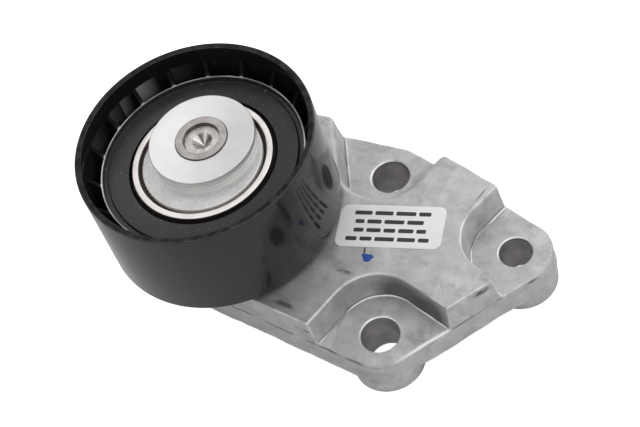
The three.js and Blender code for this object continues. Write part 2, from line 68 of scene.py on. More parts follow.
# Base plan: circles that the outline wraps, as x, y and radius.
CUP = (0.0, 0.0, 22.8)
LUG_C = (46.6, -27.9, 9.3)
LUG_B = (73.65, 0.0, 9.2)
LUG_A = (36.4, 18.0, 9.2)
SHOULDER = (4.0, 19.7, 10.9)
OUTLINE = (CUP, LUG_C, LUG_B, LUG_A, SHOULDER)
HOLE_TOP_R = {"A": 4.9, "B": 4.2, "C": 4.9}
HOLE_FOOT_R = {"A": 4.3, "B": 4.15, "C": 4.9}
LUGS = {"A": LUG_A, "B": LUG_B, "C": LUG_C}

# Base walls: their thickness, that of the ribs, the solid round each lug, and the skin's inset.
WALL = 3.4
RIB = 2.6
KEEP_OUT_R = 14.8
INSET = 0.34

# Pockets round the lugs: floor radius, and the headings of the normals at the two walls (degrees).
POCKET_R = 11.1
POCKET_DRAFT = 0.9
POCKET_NORMALS = {"A": (200.9, 334.4), "B": (151.0, 236.4), "C": (63.0, 155.0)}

# Cast radii.
EDGE_R = 0.3
POCKET_EDGE_R = {"A": 1.3, "B": 0.55, "C": 0.45}
LUG_EDGE_R = 0.5
CREST_R = 0.9
BEAD_R = 0.26
SPOT_STEP = 0.1
SPOT_R = 10.85
FLOOR_R = 0.4
RAMP_R = 1.6

# The pulley's axis, measured from the pivot axis.
AXIS = (0.25, -3.29)
PIVOT = (0.0, 0.0)

# The cup and tower in the casting, the pin in it, and a height above every cut.
CUP_R = 18.5
TOWER_R = 9.0
PIN_SEAT_R = 5.02
ABOVE = 24

# Ball bearing.
BALLS = 12
BALL_R = 2.2
BALL_CIRCLE_R = 14.6
BALL_HEIGHT = 36.4
GROOVE_R = 2.26

# Torsion spring: where its wire ends (degrees), and the radius of its coils.
SPRING_END = 150
COIL_R = 14.2

# Pulley: its ribs, the first one's heading (degrees), and the tops of its lip, ribs and rim.
RIBS = 18
FIRST_RIB = 5.7
LIP_TOP = 42.5
RIB_TOP = 46.1
RIM_TOP = 50.5

# Fineness of the meshes.
GRID = 0.3
TURNS = 256
BASE_FACES = 190000


# ---- Mesh helpers ----


def new_object(name, data):
    """A named object in the scene."""
    obj = bpy.data.objects.new(name, data)
    bpy.context.scene.collection.objects.link(obj)
    return obj


def mesh_from(name, points, faces):
    """A mesh from points in millimetres and faces as lists of indices."""
    mesh = bpy.data.meshes.new(name)
    scaled = [(x * MM, y * MM, z * MM) for x, y, z in points]
    mesh.from_pydata(scaled, [], faces)
    mesh.validate()
    return mesh


def smooth(obj, angle=32):
    """Smooth shading that breaks at edges sharper than an angle in degrees."""
    mesh = obj.data
    mesh.polygons.foreach_set("use_smooth", [True] * len(mesh.polygons))
    mesh.set_sharp_from_angle(angle=math.radians(angle))
    mesh.update()
    return obj


def rounded(profile):
    """A closed profile whose corners [r, z, radius] are turned into short arcs."""
    steps = 4
    made = []
    for i, corner in enumerate(profile):
        here = Vector(corner[:2])
        radius = corner[2] if len(corner) > 2 else 0.0
        if radius <= 0:
            made.append(tuple(here))
            continue
        before = Vector(profile[i - 1][:2]) - here
        after = Vector(profile[(i + 1) % len(profile)][:2]) - here
        half = before.angle(after) / 2
        reach = min(radius / math.tan(half), before.length * 0.49, after.length * 0.49)
        start = here + before.normalized() * reach
        end = here + after.normalized() * reach
        for t in (k / steps for k in range(steps + 1)):
            made.append(tuple(start * (1 - t) ** 2 + here * 2 * t * (1 - t) + end * t ** 2))
    return made


def turned(name, profile, axis=PIVOT, segments=TURNS):
    """A closed profile of [r, z, corner radius], counter-clockwise, turned about an upright axis."""
    circles = []
    points = []
    for r, z in rounded(profile):
        if r < 1e-6:
            circles.append([len(points)] * segments)
            points.append((*axis, z))
            continue
        circles.append([len(points) + k for k in range(segments)])
        for k in range(segments):
            a = 2 * math.pi * k / segments
            points.append((axis[0] + r * math.cos(a), axis[1] + r * math.sin(a), z))
    faces = []
    for i, here in enumerate(circles):
        after = circles[(i + 1) % len(circles)]
        if here[0] == here[-1] and after[0] == after[-1]:
            continue
        for k in range(segments):
            n = (k + 1) % segments
            corners = [here[k], here[n], after[n], after[k]]
            faces.append([c for j, c in enumerate(corners) if c != corners[j - 1]])
    return smooth(new_object(name, mesh_from(name, points, faces)))


def prism(name, outline, bottom, top, bevel=0.0):
    """An outline in plan, listed counter-clockwise, raised between two heights, with soft edges."""
    count = len(outline)
    points = [(x, y, bottom) for x, y in outline] + [(x, y, top) for x, y in outline]
    faces = [list(range(count))[::-1], list(range(count, 2 * count))]
    faces += [[i, (i + 1) % count, count + (i + 1) % count, count + i] for i in range(count)]
    obj = new_object(name, mesh_from(name, points, faces))
    if bevel > 0:
        mod = obj.modifiers.new("edges", "BEVEL")
        mod.width = bevel * MM
        mod.segments = 2
        mod.limit_method = "ANGLE"
        mod.angle_limit = math.radians(40)
        mod.use_clamp_overlap = True
        bake_modifiers(obj)
    return smooth(obj)


def baked(obj):
    """A new mesh of an object as it shows, with its modifiers or its bevel."""
    depsgraph = bpy.context.evaluated_depsgraph_get()
    return bpy.data.meshes.new_from_object(obj.evaluated_get(depsgraph))


def bake_modifiers(obj):
    """Writes an object's modifiers into its mesh."""
    made = baked(obj)
    obj.modifiers.clear()
    obj.data = made


def combine(obj, tools, operation):
    """Joins solids to an object or cuts them from it, and removes the tools."""
    for tool in tools:
        mod = obj.modifiers.new(tool.name, "BOOLEAN")
        mod.operation = operation
        mod.solver = "MANIFOLD"
        mod.object = tool
    bpy.context.view_layer.update()
    bake_modifiers(obj)
    for tool in tools:
        bpy.data.objects.remove(tool)


def polar(r, a):
    """A point in plan at a distance and an angle in radians."""
    return (r * math.cos(a), r * math.sin(a))


def rotation(degrees, axis):
    """A turn about the origin."""
    return Matrix.Rotation(math.radians(degrees), 4, axis)


def shift(x, y, z=0.0):
    """A move in millimetres."""
    return Matrix.Translation((x * MM, y * MM, z * MM))


def ring(name, inner, outer, bottom, top, low=0.0, high=None, axis=PIVOT, segments=TURNS):
    """A ring of rectangular section, with corner radii at its bottom and its top."""
    high = low if high is None else high
    return turned(name, [
        [inner, bottom, low], [outer, bottom, low], [outer, top, high], [inner, top, high],
    ], axis, segments)


def mesh_array(items, key):
    """A vector property of a mesh's points or faces, as an array of rows."""
    values = np.empty(len(items) * 3)
    items.foreach_get(key, values)
    return values.reshape(-1, 3)


def piece(obj, body, nodes, material):
    """Puts a finished object on its body, in place of its CAD nodes."""
    obj.data.materials.clear()
    obj.data.materials.append(material)
    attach(obj, body)
    if nodes:
        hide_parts(*nodes)


# ---- Distance fields (mm) ----


def and_round(a, b, r):
    """Where both fields are solid, with the outer edge between them rounded."""
    u = np.maximum(a + r, 0)
    v = np.maximum(b + r, 0)
    return np.minimum(np.maximum(a, b), -r) + np.hypot(u, v)


def or_round(a, b, r):
    """Where either field is solid, with the inner edge between them filled."""
    return -and_round(-a, -b, r)


def cut_round(a, b, r):
    """The first field less the second, with a rounded edge."""
    return and_round(a, -b, r)


def band_distance(x, y):
    """Signed distance to the outline that wraps the five circles."""
    best = np.full(np.broadcast(x, y).shape, -1e9)
    directions = 240
    for k in range(directions):
        a = 2 * math.pi * k / directions
        nx, ny = math.cos(a), math.sin(a)
        reach = max(cx * nx + cy * ny + r for cx, cy, r in OUTLINE)
        best = np.maximum(best, x * nx + y * ny - reach)
    return best


def pocket_distance(x, y, name):
    """Distance outside a pocket's plan of zero radius: the arc behind the lug and its two walls."""
    cx, cy, _ = LUGS[name]
    first, second = POCKET_NORMALS[name]
    qx, qy = x - cx, y - cy
    angle = np.degrees(np.arctan2(qy, qx)) % 360
    behind = (angle >= first) & (angle <= second)
    walls = [math.radians(first), math.radians(second)]
    sides = [qx * math.cos(w) + qy * math.sin(w) for w in walls]
    return np.where(behind, np.hypot(qx, qy), np.maximum(*sides))


def bar_distance(x, y, start, end, width):
    """Distance to a straight bar in plan."""
    along = Vector(end) - Vector(start)
    length = along.length
    ux, uy = along / length
    qx, qy = x - start[0], y - start[1]
    across = np.abs(qy * ux - qx * uy) - width / 2
    forth = qx * ux + qy * uy
    return np.maximum(across, np.maximum(-forth, forth - length))


def cast_waves(x, y, z):
    """Low waves of a cast skin, from a few slanted sines."""
    rng = random.Random(7)
    total = 0.0
    for length, height in ((19, 0.05), (13, 0.04), (8, 0.025), (5, 0.015), (3.1, 0.010)):
        for _ in range(2):
            d = Vector((rng.uniform(-1, 1), rng.uniform(-1, 1), rng.uniform(-1, 1))).normalized()
            phase = rng.uniform(0, 6)
            k = 2 * math.pi / length
            total = total + height * np.sin(k * (d.x * x + d.y * y + d.z * z) + phase)
    return total


def parting_step(z):
    """How far the side walls stand out at a height: a low flange under the parting line."""
    lip = 0.12
    sharp = 0.12
    below = 0.5 - 0.5 * np.tanh((z - LUG_TOP + 0.3) / sharp)
    draft = 0.022 * (DECK_TOP - z)
    return draft + lip * below


def base_field(x, y, z):
    """Signed distance to the base casting before it is machined."""
    band = band_distance(x, y)
    side = band + INSET - parting_step(z)
    body = and_round(side, z - DECK_TOP, EDGE_R)
    body = np.maximum(body, PLATE_BOTTOM - z)
    ramp = ramp_field(x, y, z)
    for name in LUGS:
        plan = pocket_distance(x, y, name)
        reach = POCKET_R + POCKET_DRAFT * (z - LUG_TOP) / (DECK_TOP - LUG_TOP)
        floor = LUG_TOP if name == "A" else LUG_TOP + SPOT_STEP
        pocket = and_round(plan - reach, floor - z, FLOOR_R)
        edge = POCKET_EDGE_R[name]
        if name == "A":
            pocket = and_round(pocket, -ramp, RAMP_R)
            edge = edge + CREST_R * np.clip((ramp_reach(x, y) - 4) / 5, 0, 1)
        high = np.clip((z - LUG_TOP - 1) / 4, 0, 1)
        body = cut_round(body, pocket, LUG_EDGE_R + (edge - LUG_EDGE_R) * high)
    hollow = np.maximum(band + WALL, z - HOLLOW_TOP)
    for name in LUGS:
        hollow = np.maximum(hollow, KEEP_OUT_R - pocket_distance(x, y, name))
    hollow = np.maximum(hollow, CUP[2] + 0.6 - np.hypot(x, y))
    hollow = np.maximum(hollow, -bar_distance(x, y, PIVOT, LUG_B[:2], RIB))
    hollow = np.maximum(hollow, -bar_distance(x, y, LUG_A[:2], LUG_C[:2], RIB))
    body = cut_round(body, hollow + 0.5, 0.5)
    for cx, cy, r in LUGS.values():
        pad = np.hypot(x - cx, y - cy) - (r - INSET) - 0.07 * z
        body = or_round(body, and_round(pad, z - PLATE_BOTTOM - 1, 0.3), 0.4)
    foot = np.hypot(x, y) - 16.5 - 0.05 * z
    body = or_round(body, np.maximum(foot, z - PLATE_BOTTOM - 1), 0.5)
    return body + cast_waves(x, y, z) * (z > 1.0)


def ramp_reach(x, y):
    """How far a point lies from hole A towards the ramp."""
    wall = math.radians(POCKET_NORMALS["A"][1])
    return (x - LUG_A[0]) * math.cos(wall) + (y - LUG_A[1]) * math.sin(wall)


def ramp_field(x, y, z):
    """The slope that eases the right wall of the pocket at lug A down from the deck."""
    foot, crest = 7.4, 12.6
    rise = DECK_TOP - LUG_TOP
    length = math.hypot(crest - foot, rise)
    nx, nz = -rise / length, (crest - foot) / length
    return (ramp_reach(x, y) - foot) * nx + (z - LUG_TOP) * nz


def field_slope(field, points):
    """A field and its slope at an array of points."""
    reach = 0.05
    rises = [field(*(points + step).T) - field(*(points - step).T) for step in np.eye(3) * reach]
    return field(*points.T), np.stack(rises, axis=1) / (2 * reach)


def surface_net(field, low, high, step):
    """Points and quads of a field's zero surface, from one point in each cell it crosses."""
    axes = [np.arange(lo, hi + step, step) for lo, hi in zip(low, high)]
    grid = field(axes[0][:, None, None], axes[1][None, :, None], axes[2][None, None, :])
    solid = grid < 0
    nx, ny, nz = solid.shape
    count = np.zeros((nx - 1, ny - 1, nz - 1), np.int8)
    corners = [(i, j, k) for i in (0, 1) for j in (0, 1) for k in (0, 1)]
    for i, j, k in corners:
        count += solid[i:nx - 1 + i, j:ny - 1 + j, k:nz - 1 + k]
    cells = np.argwhere((count > 0) & (count < 8))
    total = np.zeros((len(cells), 3))
    hits = np.zeros(len(cells))
    for a in corners:
        for b in corners:
            if sum(b) - sum(a) != 1 or any(q < p for p, q in zip(a, b)):
                continue
            fa = grid[tuple((cells + a).T)]
            fb = grid[tuple((cells + b).T)]
            crossing = (fa < 0) != (fb < 0)
            share = np.where(crossing, fa / np.where(crossing, fa - fb, 1), 0)
            place = np.array(a) + share[:, None] * (np.array(b) - np.array(a))
            total += place * crossing[:, None]
            hits += crossing
    points = np.array([a[0] for a in axes]) + step * (cells + total / hits[:, None])
    number = np.full(count.shape, -1)
    number[tuple(cells.T)] = np.arange(len(cells))
    quads = []
    for axis in range(3):
        first = [slice(1, -1)] * 3
        second = [slice(1, -1)] * 3
        first[axis] = slice(0, -1)
        second[axis] = slice(1, None)
        before, after = solid[tuple(first)], solid[tuple(second)]
        u, v = (axis + 1) % 3, (axis + 2) % 3
        for flip, mask in ((False, before & ~after), (True, ~before & after)):
            at = np.argwhere(mask)
            at[:, u] += 1
            at[:, v] += 1
            around = []
            for du, dv in ((-1, -1), (0, -1), (0, 0), (-1, 0)):
                cell = at.copy()
                cell[:, u] += du
                cell[:, v] += dv
                around.append(number[tuple(cell.T)])
            quads.append(np.stack(around[::-1] if flip else around, axis=1))
    return points, np.concatenate(quads)


def settle(field, points, step):
    """Moves points onto the zero surface, by no more than a cell."""
    start = points.copy()
    for _ in range(3):
        value, slope = field_slope(field, points)
        size = np.maximum((slope ** 2).sum(1), 0.05)
        points = points - (value / size)[:, None] * slope
        points = start + np.clip(points - start, -0.6 * step, 0.6 * step)
    return points


def curvature(field, points, reach):
    """How sharply the surface bends at each point: above zero on outer edges."""
    total = -6 * field(*points.T)
    for step in np.eye(3) * reach:
        total += field(*(points + step).T) + field(*(points - step).T)
    return total / reach ** 2


# ---- Materials ----


class Nodes:
    """Short calls for the nodes of a tree."""

    def __init__(self, tree):
        self.tree = tree

    def feed(self, socket, value):
        """Links an output to a socket, or sets the socket to a number or a tuple."""
        if hasattr(value, "links"):
            self.tree.links.new(value, socket)
        else:
            socket.default_value = value

    def node(self, kind, sockets=None, **values):
        """A node with its properties set and its sockets fed."""
        made = self.tree.nodes.new("ShaderNode" + kind)
        for key, value in values.items():
            setattr(made, key, value)
        for key, value in (sockets or {}).items():
            self.feed(made.inputs[key], value)
        return made

    def maths(self, operation, a, b=None):
        """A sum on values, where each may be an output or a number."""
        sockets = {0: a} if b is None else {0: a, 1: b}
        return self.node("Math", sockets, operation=operation).outputs[0]

    def vector(self, operation, a, b=None):
        """A sum on vectors: its outputs, of which one is Value and the first is the vector."""
        sockets = {0: a} if b is None else {0: a, 1: b}
        return self.node("VectorMath", sockets, operation=operation).outputs


class Look(Nodes):
    """A node material with a Principled shader and short calls for the usual patterns."""

    def __init__(self, name, roughness=0.5, metallic=0.0, specular=0.5):
        self.material = bpy.data.materials.new(name)
        self.material.use_nodes = True
        super().__init__(self.material.node_tree)
        self.shader = self.tree.nodes["Principled BSDF"]
        self.shader.inputs["Roughness"].default_value = roughness
        self.shader.inputs["Metallic"].default_value = metallic
        self.shader.inputs["Specular IOR Level"].default_value = specular
        self.place = self.node("TexCoord").outputs["Object"]

    def noise(self, scale, detail=3.0, stretch=None, rough=0.55):
        """A noise pattern at a scale per metre."""
        source = self.place
        if stretch:
            source = self.node("Mapping", {"Scale": stretch, "Vector": source}).outputs[0]
        sockets = {"Scale": scale, "Detail": detail, "Roughness": rough, "Vector": source}
        return self.node("TexNoise", sockets).outputs["Fac"]

    def rings(self, radius, scale, detail):
        """A noise pattern that changes with the radius only."""
        sockets = {"Scale": scale, "Detail": detail, "W": radius}
        return self.node("TexNoise", sockets, noise_dimensions="1D").outputs["Fac"]

    def ramp(self, value, stops):
        """A colour ramp over a value: stops are (place, colour or grey)."""
        made = self.node("ValToRGB", {"Fac": value})
        band = made.color_ramp
        while len(band.elements) < len(stops):
            band.elements.new(0.5)
        for element, (at, colour) in zip(band.elements, stops):
            shade = colour if isinstance(colour, tuple) else (colour,) * 3
            element.position = at
            element.color = (*shade, 1)
        return made.outputs["Color"]

    def mix(self, share, a, b, blend="MIX"):
        """Two colours mixed by a share, where each may be an output or a colour."""
        first, second = ((*c, 1) if isinstance(c, tuple) else c for c in (a, b))
        sockets = {0: share, 6: first, 7: second}
        return self.node("Mix", sockets, data_type="RGBA", blend_type=blend).outputs[2]

    def times(self, a, b):
        return self.maths("MULTIPLY", a, b)

    def away(self, value, level):
        """How far a value is from a level, either way."""
        return self.maths("ABSOLUTE", self.maths("SUBTRACT", value, level))

    def spread(self, value, low, high, to_low=0.0, to_high=1.0):
        """A value moved from one range to another, clamped."""
        ends = {"From Min": low, "From Max": high, "To Min": to_low, "To Max": to_high}
        return self.node("MapRange", {"Value": value, **ends}).outputs["Result"]

    def vary(self, noise, to_low, to_high):
        """The usual range of a noise pattern moved to another."""
        return self.spread(noise, 0.3, 0.7, to_low, to_high)

    def level(self, axis, scale):
        """The level way from an upright axis, times a scale."""
        moved = self.vector("SUBTRACT", self.place, (axis[0] * MM, axis[1] * MM, 0))[0]
        return self.vector("MULTIPLY", moved, (scale, scale, 0))[0]

    def radius(self, axis):
        """Distance from an upright axis, in millimetres."""
        return self.vector("LENGTH", self.level(axis, 1 / MM))["Value"]

    def direction(self, axis):
        """The level unit vector away from an upright axis."""
        return self.vector("NORMALIZE", self.level(axis, 1))[0]

    def part(self, vector, letter):
        """One coordinate of a vector."""
        return self.node("SeparateXYZ", {0: vector}).outputs[letter]

    def height(self):
        """Height in millimetres."""
        return self.times(self.part(self.place, "Z"), 1 / MM)

    def beyond(self, axis, low, high, to_low=0.0, to_high=1.0):
        """A value that changes over a span of distances from an upright axis."""
        return self.spread(self.radius(axis), low, high, to_low, to_high)

    def above(self, low, high, to_low=0.0, to_high=1.0):
        """A value that changes over a span of heights."""
        return self.spread(self.height(), low, high, to_low, to_high)

    def colour(self, output):
        """Sets the base colour."""
        self.base = output
        self.feed(self.shader.inputs["Base Color"], output)

    def paint(self, share, colour, blend="MIX"):
        """Lays another colour over the base colour so far, by a share."""
        self.colour(self.mix(share, self.base, colour, blend))

    def rough(self, output):
        self.feed(self.shader.inputs["Roughness"], output)

    def bump(self, layers):
        """Bumps from (value, depth in millimetres) layers, each on top of the last."""
        below = {}
        for value, depth in layers:
            sockets = {"Strength": 1.0, "Distance": depth * MM, "Height": value, **below}
            below = {"Normal": self.node("Bump", sockets).outputs["Normal"]}
        self.feed(self.shader.inputs["Normal"], below["Normal"])


def spot_mask(look, place, size, degrees):
    """One inside an oval spot that fades to zero at its edge. Place and half sizes are in mm."""
    sockets = {
        "Location": [v * MM for v in place], "Rotation": (0, 0, math.radians(degrees)),
        "Scale": [v * MM for v in size], "Vector": look.place,
    }
    mapped = look.node("Mapping", sockets, vector_type="TEXTURE").outputs[0]
    return look.spread(look.vector("LENGTH", mapped)["Value"], 0.45, 1.0, 1.0, 0.0)


# Dark spots painted on the casting: centre, half sizes, heading in degrees, and how dark.
DARK_SPOTS = (
    ((39.3, -10.0, 20.5), (0.4, 1.5, 1), 10, 0.95),
    ((36.1, -16.8, 20.5), (3.0, 0.8, 1), -8, 0.75),
    ((33.0, -14.5, 20.5), (4.0, 2.2, 1), -25, 0.30),
    ((29.5, -11.5, 20.5), (4.4, 3.0, 1), 10, 0.25),
    ((63.4, 8.9, 20.5), (5.2, 0.25, 1), 66.6, 0.8),
    ((24.0, -28.0, 20.5), (4.0, 0.9, 1), -14, 0.70),
    ((21.0, -27.4, 20.5), (6.0, 3.4, 1), 20, 0.35),
    ((70.9, -16.6, 18.6), (3.4, 2.2, 1.2), 44, 1.0),
    ((79.6, -7.1, 11.3), (2.2, 1.6, 0.6), 44, 0.9),
    ((29.8, -32.6, 16.4), (1.3, 1.2, 0.8), -16, 0.8),
    ((56.5, -28.2, 12.2), (6.5, 4.5, 2), 20, 0.32),
    ((66.0, 4.0, 15.5), (3.2, 5.0, 3.5), 10, 0.25),
    ((47.5, -37.0, 7.0), (10.0, 3.0, 4.0), 0, 0.28),
    ((35.4, -34.3, 12.0), (5.4, 0.8, 0.45), -20, 0.8),
    ((42.3, -36.4, 12.0), (5.0, 0.8, 0.45), -12, 0.75),
)

# Painted highlight along the front edge of lug C: centre, half sizes, heading and how bright.
FRONT_HIGHLIGHT = ((58.3, -29.2, 12.1), (9.6, 0.9, 0.5), 46, 0.8)

# Painted shade on the walls of lug C's pocket, between the lug's floor and the deck's edge.
WALL_SHADE = (
    ((50.0, -16.9, 13.5), (10.0, 5.0, 8.5), -14, 0.80),
    ((58.0, -21.0, 13.5), (7.0, 7.5, 8.0), -50, 0.85),
)


def cast_aluminium_look():
    """Die-cast aluminium: mottled grey skin, grain, dark spots, painted edge highlights, painted shade
    in inner corners and on pocket walls.
    """
    look = Look("cast_aluminium", metallic=0.7)
    broad = look.noise(55, 4)
    patches = look.noise(190, 5, stretch=(1, 1.7, 1), rough=0.62)
    grain = look.noise(2400, 3, rough=0.7)
    skin = look.ramp(broad, [
        (0.32, (0.50, 0.495, 0.497)), (0.55, (0.55, 0.543, 0.546)), (0.72, (0.60, 0.593, 0.596)),
    ])
    mottle = look.ramp(patches, [(0.3, 0.58), (0.45, 0.88), (0.55, 1.0), (0.7, 1.12)])
    look.colour(look.mix(0.5, skin, mottle, "MULTIPLY"))
    smear = look.spread(look.noise(210, 4, stretch=(1.4, 0.8, 1)), 0.52, 0.64, 0.0, 0.4)
    look.paint(smear, (0.72, 0.715, 0.715))
    look.paint(0.4, look.ramp(grain, [(0.3, 0.78), (0.6, 1.0)]), "MULTIPLY")
    bend = look.node("Attribute", attribute_name="bend").outputs["Fac"]
    # Painted shade: the inner corners above the plate are darkened.
    inner = look.spread(bend, -1.3, -0.2, 1.0, 0.0)
    inner = look.times(inner, look.above(7.0, 9.0))
    look.paint(look.times(inner, 0.6), (0.13, 0.125, 0.12))
    # Painted highlight: convex edges are lightened and broken up in patches.
    outer = look.spread(bend, 0.8, 2.8, 0.0, 0.8)
    painted_highlight = look.times(outer, look.spread(patches, 0.35, 0.6, 0.2, 1.0))
    look.paint(painted_highlight, (0.88, 0.875, 0.87))
    ragged = look.spread(look.noise(520, 4), 0.36, 0.58, 0.35, 1.0)
    wall = look.above(LUG_TOP + 0.1, LUG_TOP + 0.4)
    wall = look.times(wall, look.above(DECK_TOP - 1.2, DECK_TOP - 0.3, 1.0, 0.0))
    # The dark spots, then the painted shade on the pocket walls.
    for marks, where in ((DARK_SPOTS, ragged), (WALL_SHADE, wall)):
        for place, size, degrees, share in marks:
            mask = look.times(spot_mask(look, place, size, degrees), where)
            look.paint(look.times(mask, share), (0.07, 0.07, 0.07))
    # Painted highlight along lug C's front edge, with the bright line at the walls' foot.
    front_highlight = look.times(spot_mask(look, *FRONT_HIGHLIGHT[:3]), FRONT_HIGHLIGHT[3])
    bright = look.maths("MAXIMUM", foot_line(look, bend), front_highlight)
    look.paint(bright, (0.95, 0.945, 0.94))
    look.paint(parting_mask(look), (0.10, 0.10, 0.10))
    look.rough(look.maths("SUBTRACT", look.vary(patches, 0.50, 0.40), look.times(outer, 0.08)))
    pits = look.spread(look.noise(900, 4), 0.35, 0.65)
    look.bump([(broad, 0.16), (pits, 0.016), (grain, 0.012)])
    return look.material


def parting_mask(look):
    """A broken dark line round the side walls, where the die halves met."""
    wander = look.vary(look.noise(90, 3), -0.25, 0.25)
    off = look.away(look.maths("ADD", look.height(), wander), LUG_TOP - 0.2)
    line = look.spread(off, 0.10, 0.26, 1.0, 0.0)
    broken = look.spread(look.noise(150, 3), 0.42, 0.52, 0.0, 0.85)
    rise = look.part(look.node("NewGeometry").outputs["Normal"], "Z")
    upright = look.spread(look.maths("ABSOLUTE", rise), 0.2, 0.5, 1.0, 0.0)
    return look.times(look.times(line, broken), upright)


def foot_line(look, bend):
    """A bright line painted at the foot of the pocket walls of lugs B and C."""
    off = look.away(look.height(), LUG_TOP + 0.1)
    line = look.spread(off, 0.06, 0.15, 0.9, 0.0)
    line = look.times(line, look.spread(bend, -1.4, -0.5, 1.0, 0.0))
    near = [spot_mask(look, (*lug[:2], LUG_TOP), (30, 30, 4), 0) for lug in (LUG_B, LUG_C)]
    return look.times(line, look.maths("MAXIMUM", *near))


def bore_look():
    """Drilled bore: darker, with fine turned rings down its wall."""
    look = Look("drilled_bore", metallic=0.9)
    rings = look.noise(700, 3, stretch=(0.05, 0.05, 3))
    stain = look.noise(260, 3)
    shade = look.ramp(stain, [(0.3, (0.55, 0.535, 0.53)), (0.7, (0.78, 0.76, 0.75))])
    shade = look.mix(0.5, shade, look.ramp(rings, [(0.3, 0.75), (0.7, 1.0)]), "MULTIPLY")
    shadow = look.above(LUG_TOP - 1.0, LUG_TOP - 0.4, 0.0, 0.8)
    look.colour(look.mix(shadow, shade, (0.09, 0.088, 0.086)))
    look.rough(look.vary(stain, 0.38, 0.28))
    look.bump([(rings, 0.03)])
    return look.material


def cut_look():
    """Freshly cut aluminium: bright and fine."""
    look = Look("cut_aluminium", metallic=0.45)
    fine = look.noise(1600, 3)
    look.colour(look.ramp(fine, [(0.3, (0.84, 0.835, 0.83)), (0.7, (0.98, 0.975, 0.97))]))
    look.rough(look.vary(fine, 0.34, 0.24))
    look.bump([(fine, 0.01)])
    return look.material


def machined_look(name, colour, roughness, axis, rings=0.012):
    """Turned steel: fine rings about its axis, faint stains and a varied gloss."""
    look = Look(name, metallic=1.0)
    stain = look.noise(300, 4)
    dark = tuple(0.86 * c for c in colour)
    look.colour(look.ramp(stain, [(0.3, dark), (0.6, colour), (0.8, colour)]))
    look.rough(look.vary(stain, roughness + 0.06, roughness - 0.04))
    look.bump([(look.rings(look.radius(axis), 9.0, 3.0), rings), (look.noise(2400, 2), 0.004)])
    return look.material


def disc_look():
    """Ground steel with a painted light gradient, brighter towards -x, and faint smears."""
    look = Look("disc_steel", metallic=1.0)
    smear = look.noise(160, 4, stretch=(1, 2, 1))
    # Painted light: lighter towards -x, darker towards +x.
    share = look.spread(look.part(look.place, "X"), -0.011, 0.011)
    share = look.maths("ADD", share, look.vary(smear, -0.12, 0.12))
    look.colour(look.ramp(share, [
        (0.0, (0.97, 0.965, 0.965)), (0.5, (0.84, 0.835, 0.835)), (1.0, (0.66, 0.655, 0.655)),
    ]))
    look.rough(look.vary(smear, 0.46, 0.38))
    look.bump([(look.noise(1500, 3), 0.006)])
    return look.material


def pin_look():
    """Turned pin end: fine rings, painted reflection sectors in its recess, painted shade on its recess
    wall and rim.
    """
    look = Look("pin_steel", metallic=1.0)
    radius = look.radius(PIVOT)
    rings = look.rings(radius, 7.0, 4.0)
    # Painted reflection: bright and dark sectors round the axis, in the recess and the cone.
    sockets = {"Scale": 1.7, "Detail": 2.5, "Vector": look.direction(PIVOT)}
    sector = look.node("TexNoise", sockets)
    sector_reflection = look.ramp(sector.outputs["Fac"], [
        (0.38, (0.10, 0.095, 0.09)), (0.47, (0.52, 0.50, 0.48)), (0.56, (0.97, 0.95, 0.93)),
    ])
    steel = look.ramp(look.noise(320, 4), [(0.3, (0.44, 0.41, 0.40)), (0.7, (0.64, 0.60, 0.59))])
    steel = look.mix(look.spread(radius, 4.3, 4.4, 0.6, 0.0), steel, (0.85, 0.82, 0.80))
    cone = look.spread(radius, 2.3, 2.6, 0.9, 0.22)
    inside = look.times(cone, look.spread(radius, 4.4, 4.6, 1.0, 0.15))
    look.colour(look.mix(inside, steel, sector_reflection))
    look.paint(0.6, look.ramp(rings, [(0.35, 0.62), (0.6, 1.0)]), "MULTIPLY")
    # Painted shade on the recess wall and in the gap round the rim.
    wall = look.spread(look.away(radius, 4.5), 0.1, 0.2, 0.75, 0.0)
    rim = look.maths("MAXIMUM", wall, look.spread(radius, 6.42, 6.5, 0.0, 0.9))
    look.paint(rim, (0.05, 0.047, 0.045))
    look.rough(look.vary(rings, 0.30, 0.18))
    look.bump([(rings, 0.05), (look.noise(2400, 2), 0.004)])
    return look.material


def sintered_look():
    """Sand-textured sintered steel, with painted light on the boss and a painted highlight round the
    flange's edge.
    """
    look = Look("sintered_steel", metallic=0.5)
    sand = look.noise(2100, 3, rough=0.7)
    cloud = look.noise(220, 3)
    look.colour(look.ramp(cloud, [(0.3, (0.68, 0.675, 0.66)), (0.7, (0.80, 0.795, 0.78))]))
    look.paint(0.7, look.ramp(sand, [(0.3, 0.66), (0.55, 1.0)]), "MULTIPLY")
    # Painted light on the boss about the pivot, and a painted highlight round the flange's edge.
    painted_highlight = look.beyond(PIVOT, 13.1, 14.6, 0.75, 0.0)
    edge = look.maths("MAXIMUM", painted_highlight, look.beyond(AXIS, 14.9, 15.1, 0.0, 0.8))
    look.paint(edge, (0.95, 0.95, 0.94))
    look.rough(look.vary(sand, 0.50, 0.34))
    look.bump([(sand, 0.06)])
    return look.material


# Painted reflections on the groove's outer wall: where each starts, how far it fades (degrees), how
# light.
GROOVE_GLINTS = ((144.4, 12, 1.0), (155.5, 7, 0.38), (164.0, 9, 0.2), (184.0, 14, 0.14), (124.4, 12, 0.10))


def glint_mask(look, start, width):
    """One on the groove's outer wall at a heading about the bearing, fading back over a width."""
    heading = math.radians(start)
    across = (math.sin(heading), -math.cos(heading), 0)
    past = look.vector("DOT_PRODUCT", look.direction(AXIS), across)["Value"]
    mask = look.spread(past, 0.02, math.sin(math.radians(width)), 1.0, 0.0)
    mask = look.times(mask, look.spread(past, -0.004, 0.004))
    mask = look.times(mask, look.beyond(AXIS, 27.8, 27.95))
    return look.times(mask, look.above(RIB_TOP - 0.15, RIB_TOP, 1.0, 0.0))


